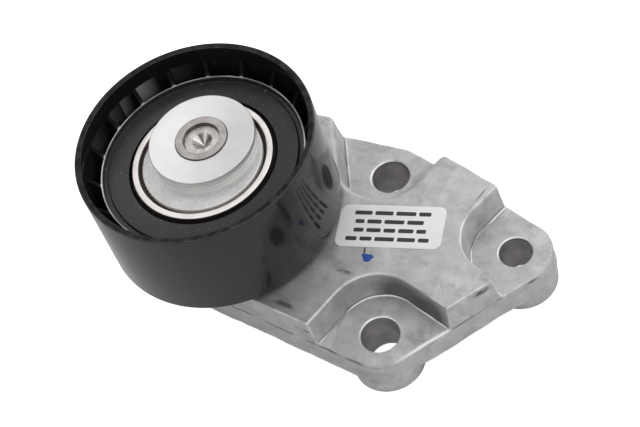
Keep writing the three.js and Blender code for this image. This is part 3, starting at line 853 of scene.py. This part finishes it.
def polymer_look(name="black_polymer", specular=0.5, film=()):
    """Glossy black moulded polymer: hub face duller with a painted sheen, a painted lip highlight, dust
    specks.
    """
    look = Look(name, specular=specular)
    cloud = look.noise(60, 3)
    dust = look.spread(look.noise(1500, 1), 0.69, 0.73)
    dust = look.times(dust, look.beyond(AXIS, 25.9, 26.2, 1.0, 0.12))
    look.colour(look.ramp(cloud, [(0.3, (0.0065, 0.006, 0.0063)), (0.7, (0.011, 0.0103, 0.0106))]))
    hub = look.beyond(AXIS, 25.6, 26.6, 1.0, 0.0)
    inner = look.times(hub, look.beyond(AXIS, 18.75, 18.85))
    # Painted sheen: the hub face is painted grey, lighter towards -x.
    hub_sheen = look.spread(look.part(look.place, "X"), -0.018, 0.016, 0.62, 0.08)
    look.paint(look.times(inner, hub_sheen), (0.048, 0.046, 0.047))
    look.paint(look.times(dust, 0.35), (0.35, 0.34, 0.33))
    # Painted highlight: a bright ring on the lip's top edge, broken up by noise.
    off = look.away(look.radius(AXIS), 25.65)
    top = look.above(LIP_TOP - 0.25, LIP_TOP - 0.1)
    lip = look.times(look.spread(off, 0.10, 0.22, 1.0, 0.0), top)
    painted_highlight = look.times(lip, look.spread(cloud, 0.40, 0.60, 0.30, 1.0))
    look.paint(painted_highlight, (0.90, 0.89, 0.88))
    rim = look.above(RIM_TOP - 0.4, RIM_TOP - 0.05)
    scuffed = look.times(rim, look.spread(look.noise(400, 4), 0.4, 0.6, 0.3, 1.0))
    look.paint(look.times(scuffed, 0.35), (0.10, 0.098, 0.096))
    # Painted reflections on the groove's outer wall, between the ribs.
    for start, width, share in film:
        look.paint(look.times(glint_mask(look, start, width), share), (0.26, 0.255, 0.25))
    gloss = look.maths("ADD", look.vary(cloud, 0.15, 0.09), look.times(rim, 0.3))
    satin = look.spread(look.noise(110, 3, stretch=(1, 0.5, 1)), 0.35, 0.65, 0.14, 0.36)
    look.rough(look.maths("ADD", gloss, look.times(inner, satin)))
    waves = look.noise(35, 2, stretch=(1, 1, 2))
    scratches = look.spread(look.noise(420, 4, stretch=(1, 0.08, 1)), 0.60, 0.68)
    scratches = look.times(scratches, inner)
    look.bump([(waves, 0.04), (look.noise(1800, 2), 0.003), (scratches, 0.004)])
    return look.material


def soft_look(name, colour, roughness):
    """Rubber or plain polymer with a fine grain."""
    look = Look(name)
    fine = look.noise(1500, 3)
    cloud = look.noise(120, 3)
    dark = tuple(0.75 * c for c in colour)
    look.colour(look.ramp(cloud, [(0.35, dark), (0.65, colour)]))
    look.rough(look.vary(fine, roughness + 0.08, roughness - 0.05))
    look.bump([(fine, 0.02)])
    return look.material


def label_look():
    """White film, faintly mottled, with a soft sheen."""
    look = Look("label_film", specular=0.4)
    fibre = look.noise(500, 4)
    cloud = look.noise(90, 2)
    shade = look.ramp(cloud, [(0.3, (0.80, 0.79, 0.80)), (0.7, (0.86, 0.85, 0.86))])
    look.colour(look.mix(0.25, shade, look.ramp(fibre, [(0.3, 0.9), (0.6, 1.0)]), "MULTIPLY"))
    look.rough(look.vary(fibre, 0.5, 0.4))
    look.bump([(cloud, 0.05), (fibre, 0.006)])
    return look.material


def floor_look():
    """Pale studio sweep that glows a little, as a lit table does."""
    look = Look("studio_floor", roughness=0.8)
    tone = look.noise(4, 2)
    look.colour(look.ramp(tone, [(0.3, 0.80), (0.7, 0.82)]))
    look.shader.inputs["Emission Color"].default_value = (1, 1, 1, 1)
    seen = look.node("LightPath").outputs["Is Camera Ray"]
    look.feed(look.shader.inputs["Emission Strength"], look.spread(seen, 0.0, 1.0, 0.0, 0.8))
    return look.material


# ---- Base casting ----


def hole_tool(name):
    """A tapered drill with a countersink that leaves a bright ring."""
    chamfer = 0.35
    deep = -2.0
    r = HOLE_TOP_R[name]
    top = LUG_TOP - 0.02
    return turned("hole_" + name, [
        [0, deep], [HOLE_FOOT_R[name], deep], [r, top - chamfer], [r + chamfer + 2, top + 2],
        [0, top + 2],
    ], LUGS[name][:2], 160)


def mark_machined(obj):
    """Gives the machined faces their own material slots: one for bores, two for bright cuts."""
    mesh = obj.data
    x, y, z = mesh_array(mesh.polygons, "center").T / MM
    nx, ny, nz = mesh_array(mesh.polygons, "normal").T
    slot = np.zeros(len(mesh.polygons), np.int32)
    for name, (cx, cy, _) in LUGS.items():
        reach = np.hypot(x - cx, y - cy)
        bore = (reach < HOLE_TOP_R[name] + 0.05) & (np.abs(nz) < 0.3)
        chamfer = (reach < HOLE_TOP_R[name] + 0.4) & (nz > 0.4) & (nz < 0.9) & (z > LUG_TOP - 0.6)
        inward = (nx * (x - cx) + ny * (y - cy)) < 0
        slot[bore & inward] = 1
        slot[chamfer & inward] = 2
    middle = np.hypot(x, y)
    slot[(z < 0.02) & (nz < -0.9)] = 2
    slot[(np.abs(middle - CUP_R) < 0.05) & (z > CUP_FLOOR)] = 2
    slot[(middle < TOWER_R + 0.1) & (z > 3.05) & (z < TOWER_TOP + 0.05)] = 2
    mesh.polygons.foreach_set("material_index", slot)


def bead_line():
    """Where the fine ridge at the foot of lug A's straight wall starts, and its heading."""
    wall = math.radians(POCKET_NORMALS["A"][0])
    start = Vector(LUG_A[:2]) + (POCKET_R - 0.45) * Vector((math.cos(wall), math.sin(wall)))
    return start, Vector((-math.sin(wall), math.cos(wall), 0))


def wall_bead():
    """A fine ridge along the foot of the straight wall behind lug A."""
    start, direction = bead_line()
    if direction.y < 0:
        direction = -direction
    profile = [[0, -1.0], [BEAD_R, -0.6, 0.1], [BEAD_R, 14.0], [0, 14.0]]
    bead = turned("bead", profile, PIVOT, 16)
    bead.data.transform(Vector((0, 0, 1)).rotation_difference(direction).to_matrix().to_4x4())
    bead.data.transform(shift(start.x, start.y, LUG_TOP + 0.05))
    return bead


def sector_tool(name, bore, r, start, end, bottom, top):
    """A part of a ring between two angles."""
    steps = 40
    angles = [math.radians(start + (end - start) * i / steps) for i in range(steps + 1)]
    outline = [polar(r, a) for a in angles] + [polar(bore, a) for a in reversed(angles)]
    return prism(name, outline, bottom, top)


def machining_tools():
    """What is cut from the casting: holes, spot faces, cup, pin's seat, foot and stop slot."""
    tools = [hole_tool(name) for name in LUGS]
    for name in "BC":
        spot = ring("spot_" + name, 0, SPOT_R, LUG_TOP, LUG_TOP + 0.6, 0, 0, LUGS[name][:2], 192)
        tools.append(spot)
    cup = [[TOWER_R, CUP_FLOOR, 0.6], [CUP_R, CUP_FLOOR, 0.8], [CUP_R, ABOVE], [TOWER_R, ABOVE]]
    tools.append(turned("cup", cup, PIVOT, 192))
    tools.append(ring("tower_top", 0, 10, TOWER_TOP, ABOVE, segments=96))
    tools.append(ring("pin_bore", 0, PIN_SEAT_R, 3, ABOVE, segments=128))
    tools.append(ring("foot_groove", 11, 14.3, -2, 3.6, 0, 0.5, segments=160))
    tools.append(sector_tool("stop_slot", 13, 21.2, -47.6, 27.6, 17.9, ABOVE))
    tools.append(prism("below", [(-60, -60), (110, -60), (110, 60), (-60, 60)], -5, 0.0))
    return tools


def mark_bends(obj):
    """Stores how sharply the casting bends at each point, for its painted edge highlights and painted
    corner shade.
    """
    points = mesh_array(obj.data.vertices, "co") / MM
    x, y, z = points.T
    bend = curvature(base_field, points, 0.35)
    bend[np.abs(z - LUG_TOP) < 0.02] = 0.0
    start, heading = bead_line()
    off = (x - start.x) * heading.y - (y - start.y) * heading.x
    on_bead = np.hypot(off, z - LUG_TOP - 0.05) < BEAD_R + 0.02
    # The ridge gets a sharp bend, so the painted edge highlight lights it.
    bend[on_bead & (y > LUG_A[1] - 6)] = 2.0
    layer = obj.data.attributes.new("bend", "FLOAT", "POINT")
    layer.data.foreach_set("value", np.clip(bend, -3, 3).astype(np.float32))


def base_casting(material):
    """The casting's field as a mesh, then its ridge, its machined cuts and its materials."""
    margin = 1.0
    low = (-CUP[2] - margin, LUG_C[1] - LUG_C[2] - margin, -0.6)
    far = max(cx + r for cx, _, r in OUTLINE)
    high = (far + margin, SHOULDER[1] + SHOULDER[2] + margin, DECK_TOP + margin)
    points, quads = surface_net(base_field_above_floor, low, high, GRID)
    points = settle(base_field_above_floor, points, GRID)
    mesh = bpy.data.meshes.new("base_casting_shape")
    mesh.from_pydata((points * MM).tolist(), [], quads.tolist())
    obj = new_object("base_casting_body", mesh)
    thin = obj.modifiers.new("thin", "DECIMATE")
    thin.ratio = min(1.0, BASE_FACES / (2 * len(quads)))
    bake_modifiers(obj)
    combine(obj, [wall_bead()], "UNION")
    combine(obj, machining_tools(), "DIFFERENCE")
    mark_bends(obj)
    smooth(obj, 38)
    piece(obj, "base", ["base_casting"], material)
    obj.data.materials.append(bore_look())
    obj.data.materials.append(cut_look())
    mark_machined(obj)


def base_field_above_floor(x, y, z):
    """The base's field, closed a little below the mounting plane so that a flat cut ends it."""
    return np.maximum(base_field(x, y, z), -0.3 - z)


# ---- Pin, arm, bush and the parts round them ----


def round_piece(node, body, profile, material, axis=PIVOT):
    """A turned piece in place of one CAD node."""
    piece(turned(node + "_body", profile, axis), body, [node], material)


def pivot_pin(material):
    round_piece("pivot_pin", "base", [
        [0, 3.02], [4.5, 3.02], [5, 3.6], [5, 45.05], [6.6, 45.05, 0.05], [6.6, 46.7, 0.22],
        [4.65, 46.7, 0.12], [4.4, 45.5, 0.15], [2.5, 45.5, 0.1], [0.25, 43.5], [0, 43.4],
    ], material)


def thrust_disc(material):
    round_piece("thrust_disc", "base", [
        [6.63, 45.0], [13.4, 45.0, 0.15], [13.4, 46.4, 0.3], [6.63, 46.4, 0.12],
    ], material)


def retainer(material):
    """The bearing's flange, with a boss about the pivot whose foot ends at the flange's edge."""
    flange = turned("bearing_retainer_body", [
        [0, 41.05], [15.05, 41.05, 0.1], [15.2, 41.3], [15.2, 42.6, 0.35], [0, 42.6],
    ], AXIS)
    boss = turned("boss", [
        [0, 42.7], [13.2, 42.7, 0.1], [13.2, 43.6, 0.35], [12.75, 43.7, 0.12], [12.7, 44.9, 0.15],
        [0, 44.9],
    ])
    neck = ring("neck", 0, 13.2, 42.1, 43.3)
    combine(neck, [ring("trim", 0, 14.9, 41.1, 44.0, axis=AXIS)], "INTERSECT")
    combine(flange, [neck, boss], "UNION")
    combine(flange, [ring("bore", 0, 6.3, 40, 46, segments=96)], "DIFFERENCE")
    piece(smooth(flange), "arm", ["bearing_retainer"], material)


def eccentric_arm(material):
    """A plate about the pivot, a hub about the bearing, a stop tab and a hole for the spring."""
    plate = [[0, 18.3], [17.05, 18.3, 0.3], [17.05, 20.9, 0.5], [0, 20.9]]
    arm = turned("eccentric_arm_body", plate)
    hub = turned("hub", [
        [0, 19.9], [13, 19.9], [13, 29.6, 0.3], [11, 29.6], [11, 41.0, 0.4], [0, 41.0],
    ], AXIS)
    tab = prism("tab", [(0, -2.1), (20.6, -2.1), (20.6, 2.1), (0, 2.1)], 18.5, 20.3, 0.25)
    tab.data.transform(rotation(-40, "Z"))
    combine(arm, [hub, tab], "UNION")
    bore = ring("bore", 0, 6.3, 17, 43, segments=96)
    at = polar(COIL_R, math.radians(SPRING_END))
    leg = turned("leg_hole", [[0, 17], [2.1, 17], [2.1, 20.3, 0.3], [0, 20.3]], at, 48)
    combine(arm, [bore, leg], "DIFFERENCE")
    piece(smooth(arm), "arm", ["eccentric_arm"], material)


def small_rings(material):
    """The bush, the thrust washer and the damping ring, all of one polymer."""
    bush = ring("pivot_bush_body", 5.07, 6.27, 18.3, 44.8, 0.1)
    washer = ring("thrust_washer_body", 5.06, TOWER_R, 17.13, 18.2, 0.1)
    damper = ring("damping_ring_body", 17.14, 18.42, 17.9, 20.3, 0.1, 0.2)
    combine(damper, [sector_tool("gap", 9, 21.2, -48.3, 28.3, 16.9, 21.3)], "DIFFERENCE")
    piece(bush, "arm", ["pivot_bush"], material)
    piece(washer, "base", ["thrust_washer"], material)
    piece(smooth(damper), "base", ["damping_ring"], material)


def torsion_spring(material):
    """A round wire swept along a helix whose upper end stands up into the arm."""
    wire_r, bottom, pitch, turns = 1.1, 8.9, 2.45, 3.1
    steps = 190
    path = []
    for i in range(steps + 1):
        share = i / steps
        a = math.radians(SPRING_END) - (1 - share) * turns * 2 * math.pi
        path.append((*polar(COIL_R, a), bottom + share * turns * pitch))
    x, y, z = path[-1]
    path += [(x, y, z + 0.6), (x, y, z + 1.9)]
    curve = bpy.data.curves.new("torsion_spring_wire", "CURVE")
    curve.dimensions = "3D"
    curve.bevel_depth = wire_r * MM
    curve.bevel_resolution = 6
    curve.use_fill_caps = True
    spline = curve.splines.new("POLY")
    spline.points.add(len(path) - 1)
    for point, (px, py, pz) in zip(spline.points, path):
        point.co = (px * MM, py * MM, pz * MM, 1)
    wire = new_object("wire", curve)
    mesh = baked(wire)
    bpy.data.objects.remove(wire)
    obj = smooth(new_object("torsion_spring_body", mesh), 60)
    obj.data.materials.append(material)
    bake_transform(obj)
    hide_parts("torsion_spring")


# ---- Ball bearing ----


def groove(edge_r, from_below):
    """Corners of a ball groove's cross-section."""
    outer = edge_r > BALL_CIRCLE_R
    spread = math.acos(abs(edge_r - BALL_CIRCLE_R) / GROOVE_R)
    middle = 0 if outer else math.pi
    sign = 1 if outer == from_below else -1
    steps = 16
    angles = [middle + sign * spread * (2 * i / steps - 1) for i in range(steps + 1)]
    arc = [polar(GROOVE_R, a) for a in angles]
    return [[BALL_CIRCLE_R + across, BALL_HEIGHT + up] for across, up in arc]


def bearing(race, seal, cage, balls):
    """The two races, the two seals, the cage and the balls, from their materials."""
    round_piece("inner_race", "arm", [
        [11.03, 30.34, 0.3], [13.0, 30.34, 0.2], *groove(13.0, True), [13.0, 40.98, 0.2],
        [11.03, 40.98, 0.3],
    ], race, AXIS)
    round_piece("outer_race", "pulley", [
        [16.2, 31.9, 0.25], [17.83, 31.9, 0.25], [17.83, 42.75, 0.35], [16.2, 42.75, 0.25],
        *groove(16.2, False),
    ], race, AXIS)
    for name, bottom in (("front_seal", 40.0), ("rear_seal", 32.4)):
        lip, web = bottom + 0.7, bottom + 0.5
        round_piece(name, "pulley", [
            [13.15, bottom, 0.1], [16.15, bottom, 0.1], [16.15, lip, 0.2], [15.6, lip, 0.1],
            [15.4, web, 0.1], [14.2, web, 0.1], [13.9, lip, 0.1], [13.15, lip, 0.1],
        ], seal, AXIS)
    ball_cage(cage)
    for k in range(BALLS):
        ball(k, balls)


def ball_cage(material):
    """A ring with a round window for each ball."""
    cage = ring("ball_cage_body", 13.3, 15.9, 33.4, 39.4, 0.3, axis=AXIS)
    windows = []
    for k in range(BALLS):
        window = ring(f"window_{k}", 0, 2.5, -3, 3, segments=48)
        window.data.transform(shift(BALL_CIRCLE_R, 0, BALL_HEIGHT) @ rotation(90, "Y"))
        window.data.transform(rotation(360 / BALLS * k, "Z"))
        window.data.transform(shift(*AXIS))
        windows.append(window)
    combine(cage, windows, "DIFFERENCE")
    piece(smooth(cage), "cage", ["ball_cage"], material)


def ball(k, material):
    """A bearing ball, turned by its own amount."""
    name = f"ball_{k + 1:02d}"
    angle = math.radians(360 / BALLS * k)
    steps = 20
    sweep = [math.pi * i / steps for i in range(steps + 1)]
    profile = [[BALL_R * math.sin(a), -BALL_R * math.cos(a)] for a in sweep]
    obj = turned(name + "_body", profile, PIVOT, 40)
    obj.data.transform(rotation(37 * k, "X"))
    x, y = polar(BALL_CIRCLE_R, angle)
    obj.data.transform(shift(AXIS[0] + x, AXIS[1] + y, BALL_HEIGHT))
    piece(obj, "cage", [name], material)


def dust_shield(material):
    round_piece("dust_shield", "arm", [
        [11.05, 29.63, 0.1], [24.3, 29.63, 0.15], [24.3, 30.32, 0.15], [11.05, 30.32, 0.1],
    ], material, AXIS)


# ---- Pulley ----


def pulley(material):
    """The wheel with its ribs. The groove, the gap round the race and the rim's top are dull."""
    wheel = turned("pulley_body", [
        [17.0, 31.0, 0.3], [28.0, 31.0, 0.6], [28.4, 22.2, 0.3], [28.4, 21.9, 0.12],
        [30.0, 21.9, 0.45], [30.0, RIM_TOP, 0.55], [28.4, RIM_TOP, 0.35], [28.25, RIB_TOP, 0.2],
        [28.0, 34.5, 0.6], [25.9, 34.5, 0.5], [25.9, LIP_TOP, 0.18], [25.35, LIP_TOP, 0.14],
        [25.25, 41.1, 0.15], [24.1, 41.1, 0.15], [24.0, 42.0, 0.15], [18.76, 42.0, 0.2],
        [18.66, 40.6, 0.15], [17.86, 40.6], [17.86, 31.88], [17.0, 31.88],
    ], AXIS)
    front = [(25.5, 33.5), (28.7, 33.5), (28.7, RIB_TOP), (27.9, RIB_TOP), (25.5, 42.3)]
    rear = [(25.5, 32.0), (25.5, 29.0), (28.7, 24.0), (28.7, 32.0)]
    ribs = []
    for k in range(RIBS):
        for outline in (front, rear):
            rib = prism(f"rib_{k}", outline, -0.55, 0.55, 0.18)
            rib.data.transform(rotation(90, "X"))
            rib.data.transform(rotation(FIRST_RIB + 360 / RIBS * k, "Z"))
            rib.data.transform(shift(*AXIS))
            ribs.append(rib)
    combine(wheel, ribs, "UNION")
    smooth(wheel, 30)
    piece(wheel, "pulley", ["pulley"], material)
    wheel.data.materials.append(polymer_look("black_polymer_dull", 0.03, GROOVE_GLINTS))
    x, y, z = mesh_array(wheel.data.polygons, "center").T / MM
    reach = np.hypot(x - AXIS[0], y - AXIS[1])
    grooves = (reach > 25.95) & (reach < 28.6) & (z > 22) & (z < 50)
    gap = (reach > 17.8) & (reach < 18.72) & (z > 38)
    rim = (reach > 28.45) & (reach < 29.6) & (z > RIM_TOP - 0.2)
    dull = (grooves | gap | rim).astype(np.int32)
    wheel.data.polygons.foreach_set("material_index", dull)


# ---- Label, its generic print and the paint dot ----


def rounded_box(cx, cy, w, h, corner, degrees):
    """The outline of a rectangle with round corners, turned in plan."""
    steps = 8
    outline = []
    for q, (sx, sy) in enumerate(((1, 1), (-1, 1), (-1, -1), (1, -1))):
        for i in range(steps + 1):
            a = math.pi / 2 * (q + i / steps)
            u = sx * (w / 2 - corner) + corner * math.cos(a)
            v = sy * (h / 2 - corner) + corner * math.sin(a)
            outline.append(on_slant(cx, cy, u, v, degrees))
    return outline


def on_slant(cx, cy, u, v, degrees):
    """A point at u and v from a centre, along and across a heading."""
    c, s = math.cos(math.radians(degrees)), math.sin(math.radians(degrees))
    return (cx + u * c - v * s, cy + u * s + v * c)


# The label's centre, width, height, corner radius and heading, then its top.
LABEL = (43.9, -2.4, 26.8, 12.4, 2.0, 5.5)
LABEL_TOP = 20.72


def deck_label(material):
    obj = prism("deck_label_film", rounded_box(*LABEL), LABEL_TOP - 0.2, LABEL_TOP, 0.05)
    piece(obj, "base", ["deck_label"], material)


def label_print(material):
    """Four rows of plain dashes that stand for the label's print."""
    rng = random.Random(5)
    cx, cy, width, _, _, degrees = LABEL
    spacing, tall, gap = 2.55, 1.15, 0.75
    whole = bmesh.new()
    for row in (1.5, 0.5, -0.5, -1.5):
        reach = width / 2 - rng.uniform(2.6, 4.4)
        u = -reach
        while u < reach - 1.5:
            long = min(rng.uniform(2.2, 5.2), reach - u)
            at = on_slant(cx, cy, u + long / 2, row * spacing, degrees)
            outline = rounded_box(*at, long, tall, 0.35, degrees)
            dash = prism("dash", outline, LABEL_TOP + 0.005, LABEL_TOP + 0.03)
            whole.from_mesh(dash.data)
            bpy.data.objects.remove(dash)
            u += long + gap
    mesh = bpy.data.meshes.new("label_print")
    whole.to_mesh(mesh)
    whole.free()
    piece(smooth(new_object("label_print", mesh)), "base", [], material)


def paint_dot(material):
    """A dab of marking paint with a ragged edge, a little domed."""
    rng = random.Random(11)
    count, circles, tall = 40, 5, 0.14
    cx, cy = 41.1, -12.0
    turns = [2 * math.pi * i / count for i in range(count)]
    edge = [1.75 + 0.22 * math.sin(3 * a) + 0.12 * math.sin(5 * a + 1) + rng.uniform(-0.05, 0.05)
            for a in turns]
    points = [(cx, cy, DECK_TOP + tall)]
    for k in range(1, circles + 1):
        share = k / circles
        z = DECK_TOP + tall * (1 - share ** 4)
        for a, r in zip(turns, edge):
            points.append((cx + 1.25 * r * share * math.cos(a), cy + r * share * math.sin(a), z))
    after = [(i + 1) % count for i in range(count)]
    faces = [[0, 1 + i, 1 + after[i]] for i in range(count)]
    for a in range(1, 1 + (circles - 1) * count, count):
        b = a + count
        faces += [[a + i, b + i, b + after[i], a + after[i]] for i in range(count)]
    faces.append([b + i for i in range(count)][::-1])
    obj = smooth(new_object("paint_dot", mesh_from("paint_dot", points, faces)), 60)
    piece(obj, "base", [], material)


# ---- Studio ----


# The surround's brightness towards each side; it blends smoothly between them.
SURROUND = (
    ((1, 0, 0), 0.67), ((-1, 0, 0), 0.40), ((0, 1, 0), 1.10), ((0, -1, 0), 0.65),
    ((0, 0, 1), 1.0), ((0, 0, -1), 0.3),
)

# Lamps: name, place and width in metres, and power in watts.
LAMPS = (
    ("key", (0.45, 0.30, 0.40), 0.25, 0.52),
    ("fill", (0.45, -0.30, 0.35), 0.25, 0.10),
)


def floor():
    size, below = 3.0, -0.00005
    mesh = bpy.data.meshes.new("studio_floor")
    corners = [(-size, -size), (size, -size), (size, size), (-size, size)]
    mesh.from_pydata([(*corner, below) for corner in corners], [], [[0, 1, 2, 3]])
    sweep = new_object("studio_floor", mesh)
    sweep.data.materials.append(floor_look())


def surround():
    """A white surround whose brightness changes with direction."""
    world = bpy.data.worlds.new("surround")
    bpy.context.scene.world = world
    world.use_nodes = True
    nodes = Nodes(world.node_tree)
    sky = nodes.node("TexCoord").outputs["Generated"]
    total = 0.0
    for direction, tone in SURROUND:
        facing = nodes.vector("DOT_PRODUCT", sky, direction)["Value"]
        share = nodes.maths("POWER", nodes.maths("MAXIMUM", facing, 0.0), 2.0)
        total = nodes.maths("ADD", total, nodes.maths("MULTIPLY", share, tone))
    background = world.node_tree.nodes["Background"]
    background.inputs["Color"].default_value = (1, 1, 1, 1)
    nodes.feed(background.inputs["Strength"], total)


def lamps():
    for name, place, width, power in LAMPS:
        data = bpy.data.lights.new(name, "AREA")
        data.energy = power
        data.shape = "SQUARE"
        data.size = width
        lamp = new_object(name, data)
        lamp.location = place
        aim = Vector((0.02, 0, 0.02)) - lamp.location
        lamp.rotation_euler = aim.to_track_quat("-Z", "Y").to_euler()


def camera():
    """A long lens above the part's front right, turned a little about its own axis."""
    heading, elevation, roll = 34.66, 52.28, 21.98
    place = Matrix.Translation((0.19558, -0.24781, 0.40857))
    data = bpy.data.cameras.new("camera")
    data.sensor_width = 36.0
    data.lens = 111.16
    obj = new_object("camera", data)
    aim = rotation(heading, "Z") @ rotation(90 - elevation, "X") @ rotation(-roll, "Z")
    obj.matrix_world = place @ aim
    bpy.context.scene.camera = obj


# ---- Assembly ----

camera()
floor()
surround()
lamps()
bpy.context.scene.view_settings.view_transform = "Standard"
aluminium = cast_aluminium_look()
base_casting(aluminium)
pivot_pin(pin_look())
thrust_disc(disc_look())
retainer(sintered_look())
eccentric_arm(aluminium)
small_rings(soft_look("bush_polymer", (0.50, 0.42, 0.28), 0.6))
torsion_spring(machined_look("spring_steel", (0.16, 0.16, 0.17), 0.4, PIVOT))
bearing(
    machined_look("bearing_steel", (0.92, 0.87, 0.85), 0.3, AXIS, rings=0.006),
    soft_look("seal_rubber", (0.075, 0.050, 0.046), 0.5),
    soft_look("cage_polymer", (0.12, 0.085, 0.05), 0.5),
    machined_look("ball_steel", (0.86, 0.84, 0.81), 0.12, AXIS, rings=0.0),
)
dust_shield(machined_look("shield_steel", (0.55, 0.55, 0.54), 0.4, AXIS))
pulley(polymer_look())
deck_label(label_look())
label_print(soft_look("print_ink", (0.03, 0.03, 0.033), 0.5))
paint_dot(soft_look("marking_paint", (0.015, 0.075, 0.35), 0.4))
